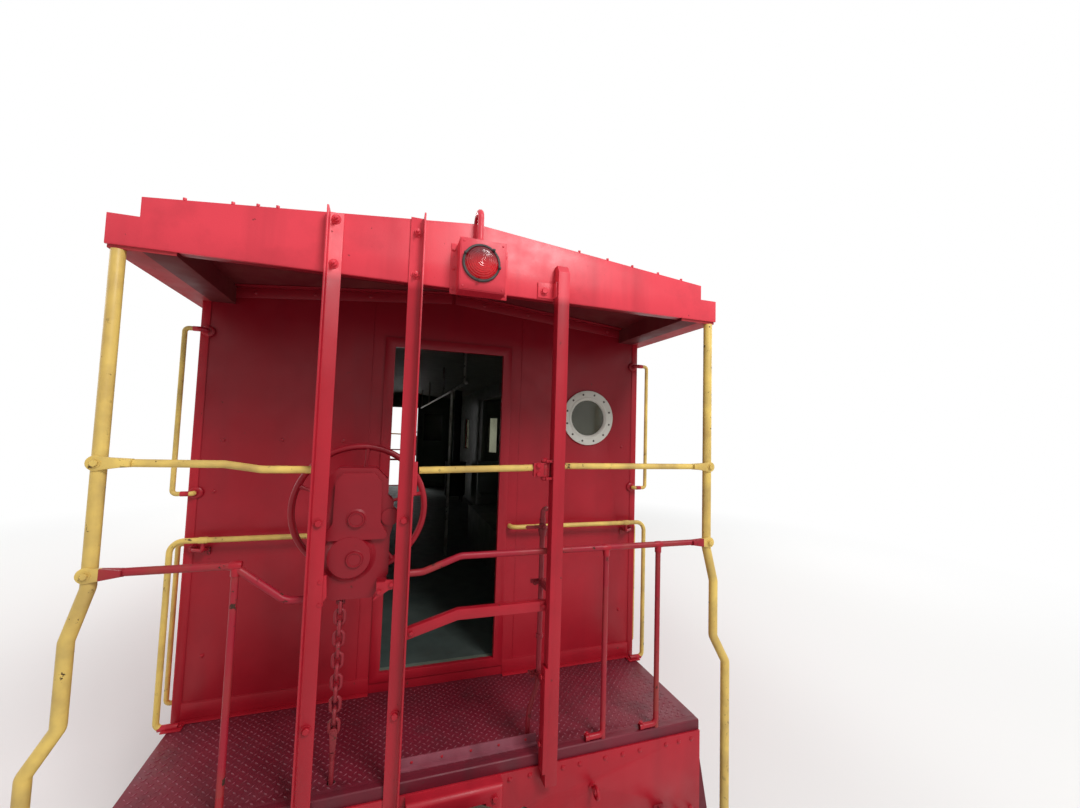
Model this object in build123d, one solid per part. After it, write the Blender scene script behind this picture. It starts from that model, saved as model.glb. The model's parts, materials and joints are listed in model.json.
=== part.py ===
from build123d import *
import math
import os

# Bay-window caboose, in millimetres.
# Frame: X along the car, Y across it, Z up from the plane under the wheel flanges.
# Each end is drawn once in end coordinates: x outwards from the end wall's face,
# y to the right of someone facing that end, z up from the platform deck.
# It is placed twice, the second time turned half round about Z.

# Car body
BODY_LENGTH = 8840.0
BODY_WIDTH = 2700.0
WALL = 76.0
DECK_HEIGHT = 1120.0
FLOOR_STEP = 100.0
FLOOR_THICK = 110.0
SKIRT = 200.0
RIDGE_UNDER = 2420.0
RIDGE_TOP = 2545.0
ROOF_PITCH = 0.09
ROOF_HALF = BODY_WIDTH / 2 - 30
EAVE_HALF = BODY_WIDTH / 2 + 70
EAVE_TOP = 2338.0
EAVE_BOTTOM = 2212.0
EAVE_RETURN = 1196.0

# Platform, end sill and fascia
PLATFORM = 747.0
DECK_HALF = BODY_WIDTH / 2 - 15
DECK_PLATE = 10.0
DECK_LIP = 45.0
SILL_TOP = -52.0
SILL_BOTTOM = -460.0
SILL_THICK = 80.0
TOE_X = 655.0
TOE_RISE = 45.0
TOE_THICK = 8.0
TOE_LOW, TOE_HIGH = -242.0, 413.0
FASCIA_THICK = 10.0
FASCIA_HALF = BODY_WIDTH / 2 + 75
FASCIA_BOTTOM = 2225.0
FASCIA_LOW_TOP = 2347.0
FASCIA_PEAK = 2557.0
FASCIA_STEP = BODY_WIDTH / 2 - 29
FASCIA_INNER_TOP = 2428.0

# Door, door frame and porthole
DOOR_CLEAR_HALF = 341.0
DOOR_TOP = 2048.0
DOOR_REBATE = 15.0
DOOR_STOP = 26.0
DOOR_THICK = 45.0
DOOR_GAP = 5.0
DOOR_OPEN = 172.0
TRIM_WIDE = 42.0
TRIM_THICK = 9.0
HINGE_STAND = 10.0
HINGE_SIDE = 4.0
HINGE_PIN_R = 5.0
HINGE_BARREL_R = 9.0
HINGE_BARREL = 42.0
HINGE_HEIGHTS = (330.0, 1050.0, 1780.0)
PIN_FIT = 0.08
PORTHOLE_Y = 964.0
PORTHOLE_Z = 1660.0
PORTHOLE_RING_R = 190.0
PORTHOLE_GLASS_R = 133.0
PORTHOLE_RING = 12.0
GLASS = 6.0

# Side windows and bays
WINDOW_BOTTOM = 1130.0
WINDOW_TOP = 1780.0
SIDE_WINDOWS = ((2550.0, 620.0), (-2550.0, 620.0))
FRAME_WIDE = 38.0
FRAME_PROUD = 12.0
BAY_HALF = 900.0
BAY_FRONT_HALF = 690.0
BAY_REACH = 275.0
BAY_WALL = 50.0
BAY_TOP = 2130.0
BAY_BOTTOM = -150.0
BAY_FRONT_WINDOWS = (-335.0, 335.0)
BAY_WINDOW_WIDE = 500.0
BAY_END_WINDOW = 170.0
BAY_ROOF_DROP = 60.0
BAY_ROOF_OVER = 22.0

# Underframe
SILL_HALF = 165.0
SILL_DEPTH = 330.0
SILL_WALL = 25.0
SIDE_SILL_DEPTH = 250.0
SIDE_SILL_WIDE = 84.0
TRUCK_CENTRE = 3350.0
BOLSTER_HALF_X = 200.0
CROSS_BEARERS = (-1950.0, -1000.0, 0.0, 1000.0, 1950.0)
CROSS_BEARER_WIDE = 120.0
TANK_IN, TANK_R, TANK_X = 630.0, 170.0, (-1400.0, 500.0)
CYLINDER_OUT, CYLINDER_X = 395.0, (1300.0, 1800.0)
BOX_IN, BATTERY_X, TOOL_BOX_X = 170.0, (-1160.0, -180.0), (240.0, 1160.0)

# Trucks
WHEEL_R = 419.0
FLANGE_R = 444.0
AXLE_Z = FLANGE_R
WHEELBASE = 1680.0
BACK_TO_BACK = 1353.0
WHEEL_WIDE = 140.0
JOURNAL_R = 75.0
JOURNAL_Y = 965.0
BEARING_R = 110.0
BEARING_LONG = 150.0
CAP_R = 82.0
CAP_BOLTS = (90, 210, 330)
FRAME_THICK = 120.0
CENTRE_PLATE_R = 165.0
CENTRE_PLATE_Z = 656.0
SIDE_BEARING_Y = 635.0
SIDE_BEARING_GAP = 6.0
SHOE_GAP = 11.0
SHOE_THICK = 45.0
SHOE_Y = (706.0, 806.0)
BEAM_X, BEAM_DEEP, BEAM_HALF, HEAD_HALF = 255.0, 45.0, 25.0, 55.0

# Couplers
COUPLER_Z = -219.0
COUPLER_REACH = 340.0
SHANK_HALF_Y = 65.0
SHANK_HALF_Z = 80.0
DRAFT_PIN_BACK = 400.0
DRAFT_PIN_R = 30.0
KNUCKLE_PIN_R = 20.0
KNUCKLE_BACK = 112.0
KNUCKLE_SIDE = -98.0
KNUCKLE_HALF_Z = 140.0

# Railings and ladder stiles
POST_Y = DECK_HALF + 55
POST_SET = 50.0
POST_OUT = 135.0
POST_R = 24.0
RAIL_R = 15.5
RAIL_BACK = 26.0
RAIL_BEND = 80.0
RAIL_TAB, RAIL_TAB_HALF = 14.0, 12.0
TOP_RAIL_Z = 1382.0
MID_RAIL_Z = 975.0
PICKET_R = 14.0
STILE_FLANGE = 65.0
STILE_LEG = 55.0
STILE_THICK = 8.0
STILE_OUTER, STILE_INNER = 656.0, 242.0
STILES = ((-STILE_OUTER, -1), (-STILE_INNER, 1))
STILE_RISE = 10.0
STILE_FOOT = -190.0
WRAP_RAIL_Z, WRAP_RAIL_R, WRAP_RAIL_OUT = 936.0, 14.0, 40.0
WRAP_BENDS = [40.0, 60.0, 30.0]
CORNER_IRON_LOW, CORNER_IRON_HIGH = 1175.0, 2047.0
CORNER_IRON_IN, CORNER_IRON_OUT = 34.0, 54.0
WRAP_TEE_IN = 103.0
SIDE_IRON_LOW, SIDE_IRON_HIGH, SIDE_IRON_X = 40.0, 880.0, -120.0
IRON_R = 12.0
GATE_POST_LOW, GATE_POST_HIGH = 413.0, 473.0
GATE_POST_DEEP = 62.0
GATE_POST_TOP = 2400.0
LOW_BAR = ((-300.0, 641.0), (-15.0, 722.0), (480.0, 722.0))
LOW_BAR_HIGH, LOW_BAR_LIP, LOW_BAR_THICK = 47.0, 34.0, 8.0

# Hand brake
BRAKE_Y = -481.0
BRAKE_LOW, BRAKE_HIGH = 788.0, 1366.0
PANEL_RISE = 22.0
BOSS_R, BOSS_RISE = 34.0, 10.0
BOSS_Z = (967.0, 1141.0)
BRAKE_BACK, BRAKE_FRONT = 600.0, 702.0
WHEEL_Y, WHEEL_Z, WHEEL_X = -470.0, 1158.0, 520.0
HAND_WHEEL_R = 298.0
HAND_RIM_R = 15.0
SPOKES, SPOKE_TURN = 5, 86.0
SPOKE_R, SPOKE_HUB_R, SPOKE_RIM_R, SPOKE_FLARE = 7.5, 17.0, 14.0, 50.0
SHAFT_R = 16.0
CHAIN_Y = -525.0
CHAIN_LINKS = 8
LINK_INNER = 9.0
LINK_WIRE = 11.0
LINK_BITE = 0.3
LINK_CLEAR = 2.3
CHAIN_PIN_R = 5.0
CLEVIS_Z = 225.0

# Gate bar, marker lamp, roof fittings and stove
GATE_PIN_X, GATE_PIN_Y, GATE_PIN_R = 18.0, 32.0, 9.0
GATE_HINGE_DROP = 14.0
GATE_LEAF_HALF, GATE_LUG, GATE_LUG_GAP = 34.0, 12.0, 2.0
GATE_TIP, GATE_DROOP = -220.0, 18.0
AIR_X, AIR_FOOT, AIR_R = 620.0, 382.0, 17.0
AIR_HANDLE = 92.0
TRAIN_PIPE_Y, TRAIN_PIPE_Z, TRAIN_PIPE_R = 330.0, -250.0, 21.0
TRAIN_PIPE_BACK, TRAIN_PIPE_REACH = 300.0, 120.0
TRAIN_COCK_R, TRAIN_COCK = 34.0, (12.0, 68.0)
LEVER_X, LEVER_Z, LEVER_R = 800.0, -405.0, 12.0
EYE_Y, EYE_Z, EYE_R = 690.0, -205.0, 24.0
LAMP_DEEP = 95.0
LAMP_SPAN = (-88.0, 131.0)
LAMP_RISE = (2195.0, 2441.0)
LENS_Y, LENS_Z = 12.0, 2328.0
LENS_R, LENS_DOME, LENS_RIM = 80.0, 45.0, 10.0
SEAMS, SEAM_PITCH, SEAM_WIDE, SEAM_HIGH = 9, 1120.0, 45.0, 12.0
STOVE_X, STOVE_Y = -1900.0, 980.0
JACK_R = 90.0

# Cabin fittings
SEAT_X, SEAT_IN, SEAT_OUT, SEAT_HIGH = 420.0, 340.0, 125.0, 480.0
BENCH_X, BENCH_DEEP, BENCH_HIGH = (1300.0, 3300.0), 574.0, 450.0
CLOSET_X, CLOSET_DEEP, CLOSET_HIGH = (1250.0, 2150.0), 754.0, 1950.0
CABIN_RAIL_Y, CABIN_RAIL_HIGH, CABIN_RAIL_HALF = 330.0, 1900.0, 3000.0
CABIN_HANGERS, POLE_X = (-2900.0, -1100.0, 1100.0, 2900.0), 2000.0

# Springs of the trucks
SPRING_SEAT = 262.0
BOLSTER_SEAT = 470.0
LEAVES = 5
LEAF_THICK = 11.0
LEAF_HALF = 225.0
LEAF_STEP = 34.0
SIDE_BEARING_TOP = 655.0

# Derived sizes
HALF_BODY = BODY_LENGTH / 2
HALF_WIDE = BODY_WIDTH / 2
INNER_WIDE = HALF_WIDE - WALL
FLOOR_TOP = FLOOR_STEP
FLOOR_UNDER = FLOOR_STEP - FLOOR_THICK
HOLE_HALF = DOOR_CLEAR_HALF + DOOR_REBATE
HOLE_TOP = DOOR_TOP + DOOR_REBATE
HINGE_X = -WALL - HINGE_STAND
HINGE_Y = -HOLE_HALF - HINGE_SIDE


def under(y):
    """Height of the roof's underside above the deck at y."""
    return RIDGE_UNDER - ROOF_PITCH * abs(y)


def top(y):
    """Height of the roof sheet above the deck at y."""
    return RIDGE_TOP - ROOF_PITCH * abs(y)


def slab(x, y, z):
    """Box from three (low, high) pairs."""
    size = [high - low for low, high in (x, y, z)]
    middle = [(high + low) / 2 for low, high in (x, y, z)]
    return Pos(*middle) * Box(*size)


def prism(plane, points, low, high, round_by=0.0):
    """Closed outline on a named plane, its corners rounded, pulled along the normal."""
    frames = {
        "xy": Plane.XY,
        "yz": Plane.YZ,
        "xz": Plane(origin=(0, 0, 0), x_dir=(1, 0, 0), z_dir=(0, -1, 0)),
    }
    face = make_face(Polyline(*points, close=True))
    if round_by:
        face = fillet(face.vertices(), round_by)
    solid = extrude(face, high - low)
    if plane == "xz":
        return frames[plane].location * (Pos(0, 0, -high) * solid)
    return frames[plane].location * (Pos(0, 0, low) * solid)


def rod(start, end, radius):
    """Round bar between two points."""
    a, b = Vector(*start), Vector(*end)
    frame = Plane(origin=(a + b) / 2, z_dir=b - a)
    return frame.location * Cylinder(radius, (b - a).length)


def disc(axis, centre, radius, low, high):
    """Cylinder along a named axis from low to high; centre gives the other two."""
    if axis == "x":
        return rod((low, *centre), (high, *centre), radius)
    if axis == "y":
        return rod((centre[0], low, centre[1]), (centre[0], high, centre[1]), radius)
    return rod((*centre, low), (*centre, high), radius)


def pipe(points, radius, bend):
    """Round pipe along straight runs joined by tangent arcs, bend one radius or a list of them."""
    if len(points) == 2:
        return rod(points[0], points[1], radius)
    path = FilletPolyline(*points, radius=bend)
    start = Vector(*points[0])
    along = Vector(*points[1]) - start
    section = Plane(origin=start, z_dir=along).location * Circle(radius)
    return sweep(section, path=path)


def ring(axis, centre, outer, inner, low, high):
    """Tube along a named axis."""
    return disc(axis, centre, outer, low, high) - disc(axis, centre, inner, low - 1, high + 1)


def arc_strip(centre, inner, outer, start, end):
    """Face between two arcs about a centre, angles in degrees."""
    def at(radius, angle):
        turn = math.radians(angle)
        return (centre[0] + radius * math.cos(turn), centre[1] + radius * math.sin(turn))

    middle = (start + end) / 2
    edges = [
        ThreePointArc(at(inner, start), at(inner, middle), at(inner, end)),
        Line(at(inner, end), at(outer, end)),
        ThreePointArc(at(outer, end), at(outer, middle), at(outer, start)),
        Line(at(outer, start), at(inner, start)),
    ]
    return make_face(edges)


def stand_xz(face, low, high):
    """Face drawn as (x, z) pulled across the car from y low to y high."""
    frame = Plane(origin=(0, 0, 0), x_dir=(1, 0, 0), z_dir=(0, -1, 0))
    return frame.location * (Pos(0, 0, -high) * extrude(face, high - low))


def mirrored(points, middle=0.0):
    """Close a half outline, drawn from a middle line outwards, with its mirror image."""
    right = [(middle + across, up) for across, up in points]
    left = [(middle - across, up) for across, up in reversed(points) if across > 0]
    return right + left


def both_sides(solid):
    """A solid and its mirror image across the car's middle plane."""
    return solid + mirror(solid, about=Plane.XZ)


def save(name, solid):
    """Write one node."""
    export_step(solid, f"parts/{name}.step")


# End pieces, in end coordinates
def end_wall():
    outline = [
        (-HALF_WIDE, FLOOR_UNDER), (HALF_WIDE, FLOOR_UNDER), (HALF_WIDE, under(HALF_WIDE)),
        (0, under(0)), (-HALF_WIDE, under(HALF_WIDE)),
    ]
    wall = prism("yz", outline, -WALL, 0)
    wall -= slab((-WALL - 1, 1), (-HOLE_HALF, HOLE_HALF), (FLOOR_TOP, HOLE_TOP))
    wall -= disc("x", (PORTHOLE_Y, PORTHOLE_Z), PORTHOLE_GLASS_R, -WALL - 1, 1)
    return wall


def door_frame():
    """Stop lip inside the hole and a raised trim on the outer face, one bent section."""
    lip = slab((-DOOR_STOP, 0), (-HOLE_HALF, HOLE_HALF), (FLOOR_TOP, HOLE_TOP))
    trim = slab((0, TRIM_THICK), (-HOLE_HALF - TRIM_WIDE, HOLE_HALF + TRIM_WIDE),
                (FLOOR_TOP - TRIM_WIDE, HOLE_TOP + TRIM_WIDE))
    clear = slab((-DOOR_STOP - 1, TRIM_THICK + 1), (-DOOR_CLEAR_HALF, DOOR_CLEAR_HALF),
                 (FLOOR_TOP + 8, DOOR_TOP))
    return lip + trim - clear


def hinge_fixed():
    """Wall leaves of the door hinges, with their pins."""
    made = None
    for height in HINGE_HEIGHTS:
        plate = slab((-WALL - 6, -WALL), (HINGE_Y - 60, HINGE_Y),
                     (height - 1.5 * HINGE_BARREL, height + 1.5 * HINGE_BARREL))
        plate -= disc("z", (HINGE_X, HINGE_Y), HINGE_BARREL_R + 2,
                      height - HINGE_BARREL / 2 - 1, height + HINGE_BARREL / 2 + 1)
        for low in (height - 1.5 * HINGE_BARREL, height + 0.5 * HINGE_BARREL + 1):
            plate += disc("z", (HINGE_X, HINGE_Y), HINGE_BARREL_R, low, low + HINGE_BARREL - 1)
        plate += disc("z", (HINGE_X, HINGE_Y), HINGE_PIN_R,
                      height - HINGE_BARREL, height + HINGE_BARREL)
        made = plate if made is None else made + plate
    return made


def door_leaf():
    """Closed position: a framed leaf with a window and a sunk lower panel."""
    half = HOLE_HALF - DOOR_GAP
    low, high = FLOOR_TOP + 8, HOLE_TOP - DOOR_GAP
    leaf = slab((-WALL, -WALL + DOOR_THICK), (-half, half), (low, high))
    leaf -= slab((-WALL - 1, 0), (-half + 130, half - 130), (low + 1130, high - 150))
    leaf -= slab((-WALL + DOOR_THICK - 10, 0), (-half + 130, half - 130), (low + 140, low + 980))
    for height in HINGE_HEIGHTS:
        strap = slab((-WALL - 6, -WALL), (HINGE_Y, -half + 110),
                     (height - HINGE_BARREL / 2, height + HINGE_BARREL / 2))
        strap += disc("z", (HINGE_X, HINGE_Y), HINGE_BARREL_R,
                      height - HINGE_BARREL / 2, height + HINGE_BARREL / 2)
        strap -= disc("z", (HINGE_X, HINGE_Y), HINGE_PIN_R + PIN_FIT,
                      height - HINGE_BARREL, height + HINGE_BARREL)
        leaf += strap
    return leaf


def door_pane():
    half = HOLE_HALF - DOOR_GAP - 130
    low, high = FLOOR_TOP + 8 + 1130, HOLE_TOP - DOOR_GAP - 150
    middle = -WALL + DOOR_THICK / 2
    return slab((middle - GLASS / 2, middle + GLASS / 2), (-half, half), (low, high))


def door_knob():
    """Knobs on both faces on one spindle plate, closed position."""
    y, z = HOLE_HALF - 75, FLOOR_TOP + 950
    made = disc("x", (y, z), 26, -WALL - 6, -WALL) + disc("x", (y, z), 9, -WALL - 40, -WALL - 6)
    made += Pos(-WALL - 52, y, z) * Sphere(24)
    face = -WALL + DOOR_THICK
    outer = disc("x", (y, z), 26, face, face + 4.5)
    return made + outer


def swing_open(solid):
    """Turn a closed door piece to where it stands at rest."""
    axis = Axis((HINGE_X, HINGE_Y, 0), (0, 0, 1))
    return solid.rotate(axis, DOOR_OPEN)


def porthole_ring():
    return ring("x", (PORTHOLE_Y, PORTHOLE_Z), PORTHOLE_RING_R, PORTHOLE_GLASS_R, 0, PORTHOLE_RING)


def porthole_pane():
    return disc("x", (PORTHOLE_Y, PORTHOLE_Z), PORTHOLE_GLASS_R, -GLASS - 6, -6)


def fascia():
    """End sheet of the roof with its cut-down corners."""
    outline = [
        (-FASCIA_HALF, FASCIA_BOTTOM), (FASCIA_HALF, FASCIA_BOTTOM), (FASCIA_HALF, FASCIA_LOW_TOP),
        (FASCIA_STEP, FASCIA_LOW_TOP), (FASCIA_STEP, FASCIA_INNER_TOP), (0, FASCIA_PEAK),
        (-FASCIA_STEP, FASCIA_INNER_TOP), (-FASCIA_STEP, FASCIA_LOW_TOP),
        (-FASCIA_HALF, FASCIA_LOW_TOP),
    ]
    return prism("yz", outline, PLATFORM - FASCIA_THICK, PLATFORM)


def fascia_top(y):
    """Height of the fascia's upper edge above the deck between its stepped corners."""
    return FASCIA_PEAK - (FASCIA_PEAK - FASCIA_INNER_TOP) * abs(y) / FASCIA_STEP


def platform_deck():
    """Tread plate with the toe board across the gateway and holes for rod and pipe."""
    deck = slab((0, PLATFORM - DECK_LIP), (-DECK_HALF, DECK_HALF), (-DECK_PLATE, 0))
    deck += slab((TOE_X, TOE_X + TOE_THICK), (TOE_LOW, TOE_HIGH), (0, TOE_RISE))
    deck += slab((TOE_X, TOE_X + 30), (TOE_LOW, TOE_HIGH), (0, TOE_THICK))
    for x, y, radius in (((BRAKE_BACK + BRAKE_FRONT) / 2, CHAIN_Y, 18), (AIR_X, AIR_FOOT, AIR_R + 7)):
        deck -= disc("z", (x, y), radius, -DECK_PLATE - 1, 1)
    return deck


def end_sill():
    """Deep pressed sill with a top ledge, an opening for the coupler and a striker frame."""
    back = PLATFORM - SILL_THICK
    opening_y, opening_z = 135.0, (COUPLER_Z - SHANK_HALF_Z - 6, COUPLER_Z + SHANK_HALF_Z + 20)
    sill = slab((PLATFORM - 12, PLATFORM), (-DECK_HALF, DECK_HALF), (SILL_BOTTOM, SILL_TOP))
    sill += slab((back, PLATFORM), (-DECK_HALF, DECK_HALF), (SILL_TOP - 12, SILL_TOP))
    sill += slab((PLATFORM - DECK_LIP - 12, PLATFORM - DECK_LIP), (-DECK_HALF, DECK_HALF),
                 (SILL_TOP, -DECK_PLATE))
    sill += slab((back, PLATFORM), (-DECK_HALF, DECK_HALF), (SILL_BOTTOM, SILL_BOTTOM + 12))
    striker = slab((PLATFORM, PLATFORM + 60), (-215, 215), (opening_z[0] - 60, opening_z[1] + 63))
    sill += fillet(striker.faces().sort_by(Axis.X)[-1].edges(), 24)
    sill -= disc("x", (TRAIN_PIPE_Y, TRAIN_PIPE_Z), TRAIN_PIPE_R + 6, PLATFORM - 13, PLATFORM + 1)
    sill -= slab((back - 1, PLATFORM - 12), (-SILL_HALF, SILL_HALF), (FLOOR_UNDER - SILL_DEPTH, FLOOR_UNDER))
    sill -= slab((back - 1, PLATFORM + 61), (-opening_y, opening_y), opening_z)
    eye = Pos(PLATFORM + 22 + EYE_R, EYE_Y, EYE_Z) * (Rot(90, 0, 0) * Torus(EYE_R, 8))
    eye += disc("x", (EYE_Y, EYE_Z), 9, PLATFORM, PLATFORM + 22)
    return sill + eye + disc("x", (EYE_Y, EYE_Z), 20, PLATFORM, PLATFORM + 8)


# Steps: (tread height below the deck, inner and outer edge from the deck's side)
TREADS = ((-270.0, -165.0, 65.0), (-520.0, -120.0, 115.0), (-770.0, -75.0, 165.0))
STEP_X = (130.0, 640.0)
STEP_PLATE = 8.0


def steps():
    """Open treads between two side plates, under the right-hand platform corner."""
    made = None
    for x in STEP_X:
        edge = [(-185, -DECK_PLATE), (-5, -DECK_PLATE), (75, -240), (175, -770),
                (175, -800), (-80, -800), (-175, -280)]
        outline = [(DECK_HALF + y, z) for y, z in edge]
        plate = prism("yz", outline, x - STEP_PLATE / 2, x + STEP_PLATE / 2)
        made = plate if made is None else made + plate
    for z, inner, outer in TREADS:
        inner, outer = DECK_HALF + inner, DECK_HALF + outer
        made += slab(STEP_X, (inner, outer), (z, z + STEP_PLATE))
        made += slab(STEP_X, (outer - STEP_PLATE, outer), (z - 30, z))
    return made


def corner_post(side):
    """Post from the eave down past the deck, set outwards twice, to the lowest step."""
    x = PLATFORM - RAIL_BACK
    points = [
        (x, side * POST_Y, EAVE_BOTTOM), (x, side * POST_Y, 925),
        (x, side * (POST_Y + POST_SET), 735), (x, side * (POST_Y + POST_SET), 430),
        (x, side * (POST_Y + POST_OUT), 280), (x, side * (POST_Y + POST_OUT), -600),
        (x, side * (POST_Y + POST_OUT - 47), -735),
        (STEP_X[1] + STEP_PLATE / 2, side * (POST_Y + POST_OUT - 47), -735),
    ]
    return pipe(points, POST_R, 40)


# Top and mid rails from left to right, each a list of (y, z) corners
RAILS = {
    "top_left": ((-POST_Y, TOP_RAIL_Z + 6), (-985, TOP_RAIL_Z + 2), (-852, TOP_RAIL_Z - 19),
                 (-STILE_OUTER + 28, TOP_RAIL_Z - 20)),
    "top_right": ((GATE_POST_HIGH - 28, TOP_RAIL_Z), (POST_Y, TOP_RAIL_Z)),
    "mid_left": ((-POST_Y, MID_RAIL_Z), (-931, MID_RAIL_Z), (-732, 818), (-STILE_OUTER + 28, 818)),
    "mid_right": ((-STILE_INNER - 28, 894), (-180, 897), (-10, MID_RAIL_Z - 16), (POST_Y, MID_RAIL_Z - 18)),
}
# Pickets: (y at the mid rail, y of the foot's toe)
PICKETS = ((-921.0, -1010.0), (755.0, 656.0), (1071.0, 970.0))


def railing():
    """Corner posts, top and mid rails and pickets of one platform."""
    x = PLATFORM - RAIL_BACK
    foot = SILL_TOP + PICKET_R
    made = corner_post(-1) + corner_post(1)
    for name in RAILS:
        points = [(x, y, z) for y, z in RAILS[name]]
        made += pipe(points, RAIL_R, RAIL_BEND)
    for y, toe in PICKETS:
        made += pipe([(x, y, MID_RAIL_Z - 18), (x, y, foot), (x, toe, foot)], PICKET_R, 30)
    for y, z in ((RAIL_TAB - STILE_OUTER, TOP_RAIL_Z - 20), (RAIL_TAB - STILE_OUTER, 818),
                 (-STILE_INNER - RAIL_TAB, 894), (GATE_POST_HIGH - RAIL_TAB, TOP_RAIL_Z)):
        made += slab((x, PLATFORM), (y - RAIL_TAB, y + RAIL_TAB), (z - RAIL_TAB_HALF, z + RAIL_TAB_HALF))
    return made


def ladder_stiles():
    """Two angle-iron stiles on the fascia and the end sill, rungs gone."""
    made = None
    for edge, side in STILES:
        inner = edge - side * STILE_FLANGE
        flange = slab((PLATFORM, PLATFORM + STILE_THICK), sorted((edge, inner)),
                      (STILE_FOOT, fascia_top(edge)))
        leg = slab((PLATFORM, PLATFORM + STILE_LEG), sorted((edge, edge - side * STILE_THICK)),
                   (STILE_FOOT, fascia_top(edge) + STILE_RISE))
        made = flange + leg if made is None else made + flange + leg
    keeper = STILES[1][0]
    made += slab((PLATFORM, PLATFORM + 40), (keeper, keeper + 14), (1255, 1402))
    return made


def gate_post():
    """Post on the right of the gateway, with a bevelled head and a boxed foot."""
    front = PLATFORM + GATE_POST_DEEP
    outline = [(PLATFORM, SILL_TOP - 60), (front, SILL_TOP - 60), (front, GATE_POST_TOP - 40),
               (front - 30, GATE_POST_TOP), (PLATFORM, GATE_POST_TOP)]
    post = prism("xz", outline, GATE_POST_LOW, GATE_POST_HIGH)
    post += slab((PLATFORM, front), (GATE_POST_LOW - 14, GATE_POST_LOW), (SILL_TOP, 425))
    return post + gate_hinge() + low_bar()


def low_bar():
    """Bent angle that crosses the gateway low down, from the post to behind the stile."""
    under_edge = [(y, z - LOW_BAR_HIGH) for y, z in reversed(LOW_BAR)]
    made = prism("yz", list(LOW_BAR) + under_edge, PLATFORM - LOW_BAR_THICK, PLATFORM)
    lip_edge = [(y, z - LOW_BAR_THICK) for y, z in reversed(LOW_BAR)]
    return made + prism("yz", list(LOW_BAR) + lip_edge, PLATFORM - LOW_BAR_LIP, PLATFORM)


def gate_hinge():
    """Lugs on the gate post with the pin of the gate bar."""
    x, y, middle = PLATFORM + GATE_PIN_X, GATE_POST_LOW - GATE_PIN_Y, TOP_RAIL_Z - GATE_HINGE_DROP
    inner = GATE_LEAF_HALF + GATE_LUG_GAP
    made = disc("z", (x, y), GATE_PIN_R, middle - inner - GATE_LUG, middle + inner + GATE_LUG)
    for low in (middle - inner - GATE_LUG, middle + inner):
        made += slab((x - 18, x + 30), (y, GATE_POST_LOW), (low, low + GATE_LUG))
        made += disc("z", (x, y), 18, low, low + GATE_LUG)
    return made


def brake_housing():
    """Hand-brake casting: rounded case, raised front panel, gear bulge, bosses and feet."""
    case_front = BRAKE_FRONT - PANEL_RISE
    case = [(85, BRAKE_LOW), (150, BRAKE_LOW + 102), (150, 1060), (160, 1100), (160, 1217),
            (132, 1242), (132, 1312), (80, BRAKE_HIGH)]
    panel = [(140, 1050), (100, 1125), (97, 1305), (66, 1345)]
    body = prism("yz", mirrored(case, BRAKE_Y), BRAKE_BACK, case_front, 22)
    body += prism("yz", mirrored(panel, BRAKE_Y + 8), case_front - 5, BRAKE_FRONT, 18)
    body += disc("x", (BRAKE_Y - 18, BOSS_Z[0] + 8), 88, case_front - 5, BRAKE_FRONT + 3)
    for z in BOSS_Z:
        body += disc("x", (BRAKE_Y + 5, z), BOSS_R, case_front, BRAKE_FRONT + BOSS_RISE)
    for side in (-1, 1):
        body += disc("x", (BRAKE_Y + side * 146, BOSS_Z[1] + 3), 38, BRAKE_BACK + 12, case_front + 8)
    left = [(-626, 916), (-580, 916), (-575, 828), (-606, 780), (-626, 765)]
    right = [(-392, 794), (-327, 836), (-276, 846), (-276, 876), (-340, 880)]
    body += prism("yz", left, PLATFORM - 12, PLATFORM) + prism("yz", right, PLATFORM - 12, PLATFORM)
    body += slab((case_front - 10, PLATFORM), (-628, -592), (848, 900))
    body += slab((case_front - 10, PLATFORM), (-378, -336), (842, 872))
    return body + disc("x", (WHEEL_Y, WHEEL_Z), SHAFT_R, WHEEL_X - 14, BRAKE_BACK)


def spoke(hub, rim):
    """Round spoke, narrow along its middle and flared into hub and rim."""
    reach = (rim - hub).length
    edges = [
        Line((0, 0), (SPOKE_HUB_R, 0)),
        ThreePointArc((SPOKE_HUB_R, 0), (SPOKE_R + 2, SPOKE_FLARE / 2), (SPOKE_R, SPOKE_FLARE)),
        Line((SPOKE_R, SPOKE_FLARE), (SPOKE_R, reach - SPOKE_FLARE)),
        ThreePointArc((SPOKE_R, reach - SPOKE_FLARE), (SPOKE_R + 2, reach - SPOKE_FLARE / 2),
                      (SPOKE_RIM_R, reach)),
        Line((SPOKE_RIM_R, reach), (0, reach)),
        Line((0, reach), (0, 0)),
    ]
    frame = Plane(origin=hub, z_dir=rim - hub)
    return frame.location * (Rot(90, 0, 0) * revolve(make_face(edges), Axis.Y))


def hand_wheel():
    """Rim on five dished spokes that flare at both ends, with a bored hub."""
    rim = Pos(WHEEL_X, WHEEL_Y, WHEEL_Z) * (Rot(0, 90, 0) * Torus(HAND_WHEEL_R, HAND_RIM_R))
    made = disc("x", (WHEEL_Y, WHEEL_Z), 38, WHEEL_X - 8, WHEEL_X + 36)
    for index in range(SPOKES):
        turn = math.radians(SPOKE_TURN + index * 360 / SPOKES)
        across, up = math.cos(turn), math.sin(turn)
        made += spoke(Vector(WHEEL_X + 14, WHEEL_Y + 30 * across, WHEEL_Z + 30 * up),
                      Vector(WHEEL_X, WHEEL_Y + HAND_WHEEL_R * across, WHEEL_Z + HAND_WHEEL_R * up))
    made += rim
    return made - disc("x", (WHEEL_Y, WHEEL_Z), SHAFT_R + PIN_FIT, WHEEL_X - 20, WHEEL_X + 50)


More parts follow.
